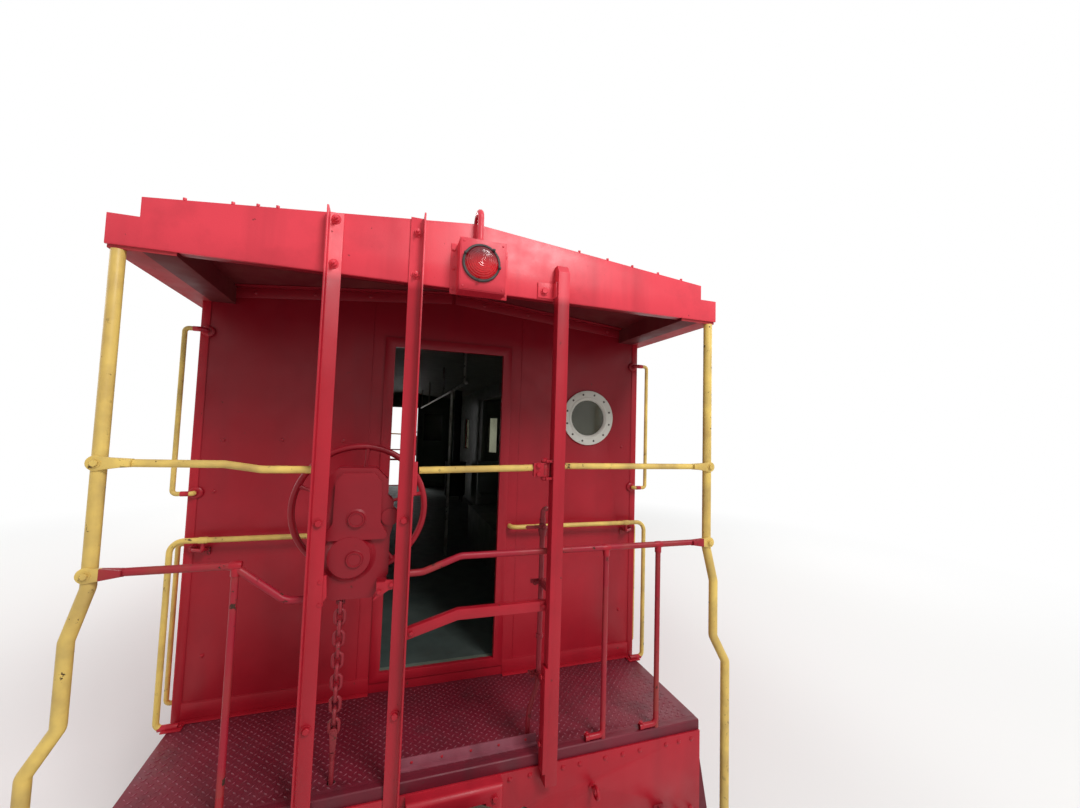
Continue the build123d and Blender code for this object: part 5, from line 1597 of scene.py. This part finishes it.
@dataclass
class BrakeChain(Dress):
    """Round-wire chain with its upper hanger, forged clevis and rod."""

    x: float = 0.651
    y: float = -0.525
    top: float = 0.7747
    pitch: float = 0.0469
    links: int = 12
    hole: float = 0.02345
    across: float = 0.0192
    wire: float = 0.0081
    gap: float = 0.0088
    cheek: float = 0.0148
    yoke: float = 0.087
    housing: float = 0.788
    rod_end: float = -0.150

    def link(self) -> Piece:
        """One long link standing in the X-Z plane at the origin.

        Returns:
            The link.
        """
        alone()
        bpy.ops.mesh.primitive_torus_add(rotation=(math.pi / 2, 0, 0), major_radius=self.across,
                                         minor_radius=self.wire, major_segments=24, minor_segments=10)
        piece = settle()
        reach = self.hole + self.wire - self.across
        slide(piece, lambda place: place.z > 0.0001, (0, 0, reach))
        slide(piece, lambda place: place.z < -0.0001, (0, 0, -reach))
        return eased(piece, 0.0, angle=60.0)

    def cheeks(self, bench: Bench, profile: Profile, normal: Axis) -> None:
        """Two flat cheeks either side of a link.

        Args:
            bench: where the parts go.
            profile: half widths and heights along a cheek.
            normal: direction of its thickness.
        """
        offset, centre = (self.x, self.y) if normal is Axis.X else (self.y, self.x)
        outline = [(centre - half, z) for half, z in profile]
        outline += [(centre + half, z) for half, z in reversed(profile)]
        for side in SIDES:
            near, far = sorted((side * self.gap, side * self.cheek))
            bench.plate(outline, normal, offset + near, offset + far, 0.0018)

    def pin(self, bench: Bench, z: float, along: Vector) -> None:
        """Pin through two cheeks, with a round head at each end.

        Args:
            bench: where the parts go.
            z: its height.
            along: its direction.
        """
        centre = Vector((self.x, self.y, z))
        end = along * self.cheek
        bench.rod(centre - end, centre + end, 0.005, 16)
        for side in SIDES:
            bench.rod(centre + end * side, centre + along * side * (self.cheek + 0.0035), 0.0095, 16)

    def build(self, fitter: Fitter) -> None:
        """Model both ends' chains as one piece in place of the plain one.

        Args:
            fitter: puts finished pieces on their bodies.
        """
        bench, seed = Bench(), self.link()
        for number in range(self.links):
            spot = bench.at((self.x, self.y, self.top - self.pitch * (number + 0.5)))
            turn = Matrix.Rotation(math.pi / 2 * (number % 2), 4, "Z")
            bench.parts.append(copied(seed, Matrix.Translation(spot) @ turn))
        bpy.data.objects.remove(seed)
        eye = self.hole - 0.0045
        upper = self.top - self.pitch / 2 + eye
        lower = self.top - self.pitch * (self.links - 0.5) - eye
        self.pin(bench, upper, RIGHT)
        self.pin(bench, lower, OUT)
        hanger = ((0.0118, self.housing - 0.001), (0.0118, upper - 0.0035), (0.0038, upper - 0.0115))
        self.cheeks(bench, hanger, Axis.Y)
        clevis = ((0.0100, -0.088), (0.0125, -0.060), (0.0155, -0.012), (0.0158, 0.0), (0.0135, 0.010),
                  (0.0070, 0.0165))
        self.cheeks(bench, [(half, lower + z) for half, z in clevis], Axis.X)
        foot = lower - self.yoke
        bench.around((self.x, self.y, foot), (self.cheek, 0.0100, 0.007), 0.003)
        bench.lathe([(0.0, 0.0138), (-0.006, 0.0138), (-0.013, 0.0125), (-0.030, 0.0105)],
                    (self.x, self.y, foot - 0.004), UP, 20)
        bench.rod((self.x, self.y, foot - 0.010), (self.x, self.y, self.rod_end), 0.010, 20)
        fitter.instead(bench, "round_wire_chains", Slot.WORN, "brake_chains")


@dataclass
class GateHinge(Dress):
    """Hinge plate, bolts and pin heads of a gate bar."""

    x: float = PLATFORM + 0.018
    y: float = 0.381
    middle: float = 1.368
    half: float = 0.034

    def build(self, fitter: Fitter) -> None:
        """Model and fit the hinge's dress.

        Args:
            fitter: puts finished pieces on their bodies.
        """
        bench = Bench()
        low, high = self.middle - self.half, self.middle + self.half
        face = self.x + 0.0215
        bench.slab((face - 0.001, face + 0.0035), (0.3175, 0.3695), (low + 0.001, high - 0.001))
        bench.nuts([(face + 0.0035, 0.341, z) for z in (low + 0.013, high - 0.013)], OUT, 0.0115)
        for z in (low + 0.001, self.middle, high - 0.007):
            bench.ring([(0.0, 0.019), (0.0, 0.0215), (0.006, 0.0215), (0.006, 0.019)],
                       (self.x, self.y, z), UP, 28)
        fitter.twins(bench, "gate_hinge", Slot.RED, "gate_bar_END")
        pins = Bench()
        for way in (1, -1):
            pins.lathe([(0.0, 0.0135), (0.005, 0.0125), (0.008, 0.008), (0.009, 0.0)],
                       (self.x, self.y, self.middle + 0.048 * way), UP * way, 20)
        for way in (1, -1):
            pins.lathe([(0.0, 0.0058), (0.004, 0.0052), (0.006, 0.0)],
                       (self.x + 0.030, 0.400, self.middle + 0.042 * way), OUT, 14)
        fitter.twins(pins, "gate_pins", Slot.RED)


@dataclass
class AirPipeDress(Dress):
    """Valve pipe with its gooseneck, valve, handle, union and clamps beside a gate post."""

    x: float = 0.620
    foot: float = 0.382
    y: float = 0.431
    radius: float = 0.0130
    neck: Point = (1.152, 0.062, 1.105)
    valve_z: float = 1.040
    handle_z: float = 1.061
    handle: float = 0.098
    clamps: Pair = (0.315, 0.776)
    bolts: Pair = (-0.036, 0.025)
    post: Pair = (0.419, 0.447)

    def pipe(self, bench: Bench) -> None:
        """Pipe from below the deck over the gooseneck, with two collars and a union.

        Args:
            bench: where the parts go.
        """
        x, y, inner = self.x, self.y, self.radius - 0.001
        top, over, mouth = self.neck
        bench.pipe([(x, self.foot, -0.150), (x, self.foot, 0.130), (x, y, 0.260), (x, y, top),
                    (x, y + over, top), (x, y + over, mouth)], self.radius, 0.055, 5)
        for spot in ((x, y + over, mouth + 0.010), (x, y, self.valve_z + 0.050)):
            bench.ring([(-0.010, inner), (-0.010, 0.0165), (0.010, 0.0165), (0.010, inner)], spot, UP, 24)
        bench.rod((x, y, 0.490), (x, y, 0.512), 0.0205, 6, 0.002)

    def valve(self, bench: Bench) -> None:
        """Plug valve with its side nut and flat handle.

        Args:
            bench: where the parts go.
        """
        x, y, z = self.x, self.y, self.handle_z
        bench.lathe([(-0.030, 0.0165), (-0.018, 0.0185), (-0.010, 0.0215), (0.018, 0.0225), (0.026, 0.0180),
                     (0.034, 0.0165)], (x, y, self.valve_z), UP, 28)
        lower = [(0.010, -0.0105), (-0.055, -0.0080), (0.008 - self.handle, -0.0095),
                 (-self.handle, -0.0040)]
        outline = lower + [(along, -half) for along, half in reversed(lower)]
        bench.plate([(y + along, z + half) for along, half in outline], Axis.X, x + 0.016, x + 0.022, 0.0015)
        bench.rod((x, y, z), (x + 0.016, y, z), 0.0105, 16)
        bench.nuts([(x + 0.022, y, z)], OUT, 0.0110)
        bench.rod((x, y, z - 0.012), (x, y + 0.031, z - 0.012), 0.0125, 16, 0.002)

    def clamp(self, bench: Bench, z: float) -> None:
        """Bracket to the post, strap in front of the pipe and its nuts.

        Args:
            bench: where the parts go.
            z: its height.
        """
        y, front, back = self.y, self.x + self.radius, self.x - self.radius
        bench.slab((self.x, PLATFORM), self.post, (z - 0.014, z + 0.014))
        bench.slab((back - 0.006, back), (y - 0.052, y + 0.034), (z - 0.010, z + 0.010), 0.001)
        bench.slab((front, front + 0.005), (y - 0.050, y + 0.034), (z - 0.0075, z + 0.0075), 0.001)
        for side in self.bolts:
            bench.rod((back - 0.010, y + side, z), (front + 0.004, y + side, z), 0.005, 12)
        bench.nuts([(front + 0.005, y + side, z) for side in self.bolts], OUT, 0.0085)

    def build(self, fitter: Fitter) -> None:
        """Model both ends' pipes as one piece in place of the plain one.

        Args:
            fitter: puts finished pieces on their bodies.
        """
        bench = Bench()
        self.pipe(bench)
        self.valve(bench)
        for z in self.clamps:
            self.clamp(bench, z)
        fitter.instead(bench, "air_pipes_with_valves", Slot.WORN, "air_pipes")


@dataclass
class DeckTrim(Dress):
    """Clips and bolts of the low bar, toe-board screws, end sill rivets, deck edge and step edges."""

    toe_face: float = 0.663
    toe_start: float = -0.187
    edge_x: Point = (0.7015, 0.7390, -0.0515)
    edge_half: float = 1.334
    sill_y: tuple[float, ...] = (0.26, 0.36, 0.53, 0.62, 0.76, 0.86, 0.96, 1.12, 1.20, 1.28)
    sill_z: Pair = (-0.086, -0.444)
    treads: tuple[Point, ...] = ((-0.270, 1.170, 1.400), (-0.520, 1.215, 1.450), (-0.770, 1.260, 1.500))

    def build(self, fitter: Fitter) -> None:
        """Model and fit the trim.

        Args:
            fitter: puts finished pieces on their bodies.
        """
        bench = Bench()
        bench.slab((PLATFORM, PLATFORM + 0.005), (0.388, 0.413), (0.679, 0.724))
        bench.nuts([(PLATFORM + 0.005, 0.400, 0.702), (PLATFORM, -0.222, 0.640)], OUT, 0.010)
        bench.heads([(self.toe_face, self.toe_start + 0.1365 * step, 0.024) for step in range(5)],
                    OUT, 0.0065)
        bench.heads([(PLATFORM, side * y, z) for y in self.sill_y for z in self.sill_z for side in SIDES],
                    OUT, 0.0125)
        bench.nuts([(PLATFORM + 0.060, side * 0.175, z) for z in (-0.320, -0.215, -0.105) for side in SIDES],
                   OUT, 0.014)
        fitter.twins(bench, "sill_trim", Slot.RED)
        grips = Bench()
        back, front, lip = self.edge_x
        grips.plate([(back, 0.0), (front - 0.005, 0.0), (front, -0.005), (front, lip), (front - 0.007, lip),
                     (front - 0.007, -0.009), (back, -0.009)], Axis.Y, -self.edge_half, self.edge_half)
        for drop, inner, outer in self.treads:
            for side in SIDES:
                for x in (0.165 + step * 0.063 for step in range(8)):
                    grips.slab((x, x + 0.012), (side * (inner + 0.02), side * (outer - 0.02)),
                               (drop + 0.0075, drop + 0.0115), 0.001)
                grips.nuts([(x, side * outer, drop - 0.015) for x in (0.155, 0.615)], RIGHT * side, 0.009)
        fitter.twins(grips, "step_grips", Slot.TREAD)


@dataclass
class SideTrim(Dress):
    """Seams, rivets, window beads and drips along the car's sides and bays."""

    seams: tuple[float, ...] = (-3.45, -1.52, 1.52, 3.45)
    windows: Pair = (-2.55, 2.55)
    window_wide: float = 0.620
    low: float = 1.130
    high: float = 1.780
    bay_half: float = 0.900
    bay_front: float = 0.690
    bay_y: float = 1.625
    bay_lean: float = math.degrees(math.atan2(0.275, 0.210))
    rim: float = 0.014
    rivets: float = 0.16

    def window(self, wide: float) -> tuple[Piece, Piece]:
        """Rubber bead round a pane, outer face on the X-Z plane at the origin, and its frame's screws.

        Args:
            wide: width of the window.

        Returns:
            The bead and the screws.
        """
        half, tall = wide / 2, (self.high - self.low) / 2
        bead, screws = Bench(ORIGIN), Bench(ORIGIN)
        for side in SIDES:
            bead.slab((side * half, side * (half - self.rim)), (-0.021, -0.006), (-tall, tall), 0.003)
            bead.slab((-half, half), (-0.021, -0.006), (side * tall, side * (tall - self.rim)), 0.003)
        reach, rise = half + 0.019, tall + 0.019
        seats = [(side * reach, 0.012, step * rise * 0.92)
                 for side in SIDES for step in (-1, -0.33, 0.33, 1)]
        count = max(2, round(wide / 0.2))
        seats += [(reach * (2 * step / count - 1) * 0.9, 0.012, side * rise)
                  for side in SIDES for step in range(count + 1)]
        screws.heads(seats, RIGHT, 0.0052)
        return bead.take("bead"), screws.take("screws")

    def build(self, fitter: Fitter) -> None:
        """Model one side and turn a copy to the other.

        Args:
            fitter: puts finished pieces on their bodies.
        """
        marks = ("right", "left")
        beads, trim = Bench(CAR), Bench(CAR)
        places = [(x, HALF_WIDE, 0.0, self.window_wide) for x in self.windows]
        places += [(x, self.bay_y, 0.0, 0.500) for x in (-0.335, 0.335)]
        places += [(0.795, 1.4875, -self.bay_lean, 0.170), (-0.795, 1.4875, self.bay_lean, 0.170)]
        for x, y, turn, wide in places:
            spot = (Matrix.Translation((x, y, DECK + (self.low + self.high) / 2))
                    @ Matrix.Rotation(math.radians(turn), 4, "Z"))
            for piece, bench in zip(self.window(wide), (beads, trim)):
                piece.data.transform(spot)
                bench.parts.append(piece)
        fitter.twins(beads, "window_beads", Slot.UNDER, marks=marks)
        wall, bay = HALF_WIDE, self.bay_y
        for x in self.seams:
            trim.slab((x - 0.003, x + 0.003), (wall - 0.001, wall + 0.0018), (-0.19, 2.205), 0.0008)
        for x in self.windows:
            trim.slab((x - 0.385, x + 0.385), (wall - 0.001, wall + 0.026), (1.826, 1.832))
        for side in SIDES:
            first, last = sorted((side * (self.bay_half + 0.012), side * (HALF_BODY - 0.015)))
            trim.slab((first, last), (wall - 0.001, wall + 0.005), (-0.196, -0.120))
            count = int((last - first) / self.rivets)
            trim.heads([(first + 0.05 + step * self.rivets, wall + 0.005, -0.158) for step in range(count)],
                       RIGHT, 0.0105)
            corner = side * self.bay_front
            trim.slab((corner - 0.004, corner + 0.004), (bay - 0.004, bay + 0.001), (-0.148, 2.128), 0.001)
            corner = side * (self.bay_half + 0.004)
            trim.slab((corner - 0.006, corner + 0.006), (wall - 0.001, wall + 0.004), (-0.15, 2.128), 0.001)
        for low, high in ((1.060, 1.080), (-0.146, -0.090)):
            trim.slab((-0.685, 0.685), (bay - 0.001, bay + 0.005), (low, high))
        trim.heads([(-0.64 + step * self.rivets, bay + 0.005, -0.118) for step in range(9)], RIGHT, 0.0105)
        fitter.twins(trim, "side_trim", Slot.RED, marks=marks)
        eaves = Bench(CAR)
        eaves.heads([(-5.04 + step * 0.24, 1.420, z) for z in (2.325, 2.232) for step in range(43)],
                    RIGHT, 0.0085)
        fitter.twins(eaves, "eave_rivets", Slot.ROOF, marks=marks)


@dataclass
class RoofTrim(Dress):
    """Bolts of the roof's seam caps, and bands and bolts of the stove pipe."""

    pitch: float = 1.120
    caps: int = 9
    ridge: float = 2.557
    jack: Pair = (-1.9, 0.98)
    jack_r: float = 0.125

    def build(self, fitter: Fitter) -> None:
        """Model and fit the roof's bolts.

        Args:
            fitter: puts finished pieces on their bodies.
        """
        bench = Bench(CAR)
        seams = [(index - (self.caps - 1) / 2) * self.pitch for index in range(self.caps)]
        bench.heads([(x, side * y, self.ridge - ROOF_FALL * y) for x in seams for side in SIDES
                     for y in (0.06, 0.36, 0.66, 0.96, 1.26)], UP, 0.011)
        x, y = self.jack
        roof = self.ridge - 0.012 - ROOF_FALL * y
        for inner, outer, tall, z in ((0.089, 0.094, 0.030, roof + 0.13), (0.1485, 0.1525, 0.027, 2.853)):
            bench.ring([(0.0, inner), (0.0, outer), (tall, outer), (tall, inner)], (x, y, z), UP, 40)
        bench.nuts([(x + self.jack_r * math.cos(turn), y + self.jack_r * math.sin(turn), roof + 0.039)
                    for turn in map(math.radians, range(0, 360, 45))], UP, 0.008)
        fitter.fit(bench.take("roof_trim"), "carbody", Slot.ROOF)


@dataclass
class UnderTrim(Dress):
    """Bands, plugs, lids, hinges and flanges of what hangs under the floor."""

    tank: Point = (0.720, -0.460, 0.170)
    bands: tuple[float, ...] = (-1.20, -1.0, 0.0, 0.30)
    plugs: Pair = (-1.424, 0.524)
    cylinder: Pair = (-0.560, -0.400)
    box_y: float = -1.180
    boxes: tuple[tuple[float, float, float, float, float], ...] = ((-1.13, -0.21, -0.610, -0.250, 0.008),
                                                                   (0.265, 1.135, -0.535, -0.225, 0.0))
    bearers: tuple[float, ...] = (-1.95, -1.0, 0.0, 1.0, 1.95)
    hangers: Point = (-1.95, 0.0, 1.95)

    def air(self, bench: Bench) -> None:
        """Bands, drain and plugs of the tank, and the brake cylinder's flanges.

        Args:
            bench: where the parts go.
        """
        y, z, radius = self.tank
        for x in self.bands:
            bench.ring([(-0.022, radius - 0.001), (-0.022, radius + 0.005), (0.022, radius + 0.005),
                        (0.022, radius - 0.001)], (x, y, z), OUT, 48)
            bench.nuts([(x, y - radius - 0.004, z)], -RIGHT, 0.014)
        bench.lathe([(0.0, 0.020), (0.020, 0.020), (0.020, 0.012), (0.055, 0.012)],
                    (-0.45, y, z - radius + 0.001), -UP, 20)
        for x, way in zip(self.plugs, (-OUT, OUT)):
            bench.lathe([(0.0, 0.046), (0.010, 0.042), (0.010, 0.024), (0.030, 0.024)], (x, y, z), way, 24)
        y, z = self.cylinder
        for x in (1.300, 1.782):
            bench.ring([(0.0, 0.10), (0.0, 0.148), (0.018, 0.148), (0.018, 0.10)], (x, y, z), OUT, 40)
        bench.nuts([(1.800, y + 0.137 * math.cos(turn), z + 0.137 * math.sin(turn))
                    for turn in map(math.radians, range(0, 360, 60))], OUT, 0.012)

    def box(self, bench: Bench, place: Sequence[float]) -> None:
        """Lid, hinges, hasps and rivets of a box.

        Args:
            bench: where the parts go.
            place: its two ends, bottom and top, and how far it stands back.
        """
        left, right, low, high, back = place
        skin = self.box_y + back
        bench.slab((left + 0.012, right - 0.012), (skin - 0.004, skin + 0.001),
                   (low + 0.012, high - 0.012), 0.002)
        for x in (left + 0.14, (left + right) / 2, right - 0.14):
            bench.slab((x - 0.035, x + 0.035), (skin - 0.007, skin - 0.003), (high - 0.075, high - 0.015))
            bench.rod((x - 0.035, skin - 0.008, high - 0.013), (x + 0.035, skin - 0.008, high - 0.013),
                      0.008, 14)
        for x in (left + 0.22, right - 0.22):
            bench.slab((x - 0.014, x + 0.014), (skin - 0.010, skin - 0.003), (low + 0.02, low + 0.11))
        bench.heads([(x, skin - 0.004, z) for x in (left + 0.03, right - 0.03)
                     for z in (low + 0.03, (low + high) / 2, high - 0.03)], -RIGHT, 0.008)

    def build(self, fitter: Fitter) -> None:
        """Model and fit the trim under the floor.

        Args:
            fitter: puts finished pieces on their bodies.
        """
        bench = Bench(CAR)
        self.air(bench)
        for place in self.boxes:
            self.box(bench, place)
        for x in self.bearers:
            for side in SIDES:
                bench.nuts([(x + more, side * 0.60, -0.200) for more in (-0.035, 0.035)], -UP, 0.014)
        half = [(4.730, 0.330, -0.250), (4.250, 0.330, -0.250), (4.050, 0.250, -0.300)]
        cross = [(-2.450, 0.250, -0.300), (-2.550, 0.250, -0.372), (-2.650, -0.250, -0.372),
                 (-2.750, -0.250, -0.300)]
        bench.pipe(half + cross + [(-x, -y, z) for x, y, z in reversed(half)], 0.019, 0.12, 5)
        for x in self.hangers:
            bench.slab((x - 0.012, x + 0.012), (0.230, 0.270), (-0.285, -0.199))
        fitter.fit(bench.take("underfloor_trim"), "carbody", Slot.UNDER)


@dataclass
class TruckTrim(Dress):
    """Spring bands, bolts, ribs and brake hangers of the trucks, and their axle ends."""

    journal_y: float = 0.965
    frame_y: float = 1.025
    spring: Pair = (0.262, 0.470)
    leaf_half: float = 0.225
    brake: Pair = (0.330, 0.756)
    cap_y: float = 1.063
    cap_bolts: float = 0.050

    def springs(self, bench: Bench, side: int) -> None:
        """Bands and end pins of one side's leaf spring.

        Args:
            bench: where the parts go.
            side: -1 or 1.
        """
        low, high = self.spring
        near, far = sorted((side * (self.journal_y - 0.054), side * (self.journal_y + 0.054)))
        for z in ((low + 0.001, low + 0.066), (high - 0.066, high - 0.001)):
            bench.slab((-0.040, 0.040), (near, far), z, 0.005)
        for way in SIDES:
            x, z = way * (self.leaf_half - 0.012), (low + high) / 2
            bench.rod((x, near - 0.006, z), (x, far + 0.006, z), 0.011, 16)

    def frame(self, bench: Bench, side: int) -> None:
        """Bolts, ribs, bearing rings and brake hangers of one side frame.

        Args:
            bench: where the parts go.
            side: -1 or 1.
        """
        out, skin = RIGHT * side, side * self.frame_y
        seats = [(x, skin, z) for x in (-0.272, 0.272) for z in (0.30, 0.42, 0.58)]
        seats += [(way * (HALF_BASE + more), skin, 0.612) for way in SIDES for more in (-0.135, 0.135)]
        bench.nuts(seats, out, 0.017)
        thick = (skin, skin + side * 0.009)
        for half, low, high in ((0.34, 0.668, 0.688), (0.325, 0.204, 0.220)):
            bench.slab((-half, half), thick, (low, high), 0.004)
        across, deep = self.brake
        for way in SIDES:
            bench.slab((way * 0.66, way * 0.99), thick, (0.630, 0.646), 0.004)
            bench.ring([(-0.012, 0.090), (-0.012, 0.114), (-0.006, 0.118), (0.003, 0.112), (0.003, 0.090)],
                       (way * HALF_BASE, side * 1.040, AXLE_Z), out, 40)
            x, y = way * across, side * deep
            bench.pipe([(x, y, 0.498), (x, y, 0.640), (x, side * 0.906, 0.640)], 0.011, 0.035)
            bench.rod((x, y - 0.058, 0.470), (x, y + 0.058, 0.470), 0.012, 16)

    def build(self, fitter: Fitter) -> None:
        """Model and fit one truck's trim and axle ends, then the other's.

        Args:
            fitter: puts finished pieces on their bodies.
        """
        bench = Bench(TRUCK)
        for side in SIDES:
            self.springs(bench, side)
            self.frame(bench, side)
        fitter.twins(bench, "truck_trim", Slot.CAST, "truck_END")
        for number, x in ((1, HALF_BASE), (2, -HALF_BASE)):
            caps = Bench(TRUCK)
            for side in SIDES:
                caps.lathe([(0.0, 0.036), (0.004, 0.033), (0.004, 0.018), (0.012, 0.016)],
                           (x, side * (self.cap_y - 0.001), AXLE_Z), RIGHT * side, 24)
                seats = [(x + self.cap_bolts * math.cos(turn), side * (self.cap_y + 0.010),
                          AXLE_Z + self.cap_bolts * math.sin(turn))
                         for turn in map(math.radians, (90, 210, 330))]
                caps.nuts(seats, RIGHT * side, 0.011, False)
            fitter.twins(caps, f"axle_caps_{number}", Slot.WHEEL, f"wheelset_END{number}")


@dataclass
class CouplerTrim(Dress):
    """Head and tail of a knuckle's pin."""

    x: float = PLATFORM + 0.228
    y: float = -0.098
    z: float = -0.219

    def build(self, fitter: Fitter) -> None:
        """Model and fit the coupler's small pieces.

        Args:
            fitter: puts finished pieces on their bodies.
        """
        bench = Bench()
        bench.lathe([(-0.018, 0.033), (-0.004, 0.033), (0.006, 0.026), (0.009, 0.0)],
                    (self.x, self.y, self.z + 0.165), UP, 28)
        bench.lathe([(0.0, 0.024), (0.012, 0.022), (0.020, 0.0)], (self.x, self.y, self.z - 0.147), -UP, 20)
        fitter.twins(bench, "coupler_trim", Slot.CAST, "coupler_END")


@dataclass
class DoorTrim(Dress):
    """Window beads, panel moulding and hinge screws of a door, standing open."""

    hinge: Pair = (-0.086, -0.360)
    open_turn: float = 172.0
    face: float = -0.031
    back: float = -0.076
    half: float = 0.221
    window: Pair = (1.238, 1.908)
    panel: Pair = (0.248, 1.088)
    hinge_z: Point = (0.330, 1.050, 1.780)

    def frame(self, bench: Bench, opening: Pair, x: Pair, rim: float) -> None:
        """Four strips round an opening in the closed door.

        Args:
            bench: where the parts go.
            opening: its bottom and top.
            x: inner and outer face of the strips.
            rim: their width.
        """
        low, high = opening
        for side in SIDES:
            bench.slab(x, (side * (self.half + rim), side * self.half), (low - rim, high + rim), 0.002)
        for z in ((low - rim, low), (high, high + rim)):
            bench.slab(x, (-self.half, self.half), z, 0.002)

    def build(self, fitter: Fitter) -> None:
        """Model the door's trim closed, then swing it open.

        Args:
            fitter: puts finished pieces on their bodies.
        """
        bench = Bench()
        self.frame(bench, self.window, (self.face - 0.001, self.face + 0.005), 0.018)
        self.frame(bench, self.window, (self.back - 0.005, self.back + 0.001), 0.018)
        self.frame(bench, self.panel, (self.face - 0.001, self.face + 0.004), 0.012)
        bench.heads([(self.back - 0.006, y, z + more) for z in self.hinge_z for more in (-0.012, 0.012)
                     for y in (-0.330, -0.300, -0.265)], -OUT, 0.0045)
        axis = Matrix.Translation(bench.at((*self.hinge, 0.0)))
        swing = axis @ Matrix.Rotation(math.radians(self.open_turn), 4, "Z") @ axis.inverted()
        for part in bench.parts:
            part.data.transform(swing)
        fitter.twins(bench, "door_trim", Slot.RED, "door_END")


DRESSES = (TreadDeck, WallTrim, CanopyTrim, StileFittings, RailFittings, GrabFittings, MarkerLampDress,
           Porthole, HandBrakeDress, BrakeChain, GateHinge, AirPipeDress, DeckTrim, SideTrim, RoofTrim,
           UnderTrim, TruckTrim, CouplerTrim, DoorTrim)


def main() -> None:
    """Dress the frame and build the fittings."""
    logging.basicConfig(level=logging.INFO, format="%(name)s: %(message)s")
    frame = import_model()
    StudioSet().build()
    palette = Palette()
    fitter = Fitter(palette)
    PackedPieces(palette).build(frame["nodes"], frame["record"])
    for dress in DRESSES:
        dress().build(fitter)
    alone()


if __name__ == "__main__":
    main()
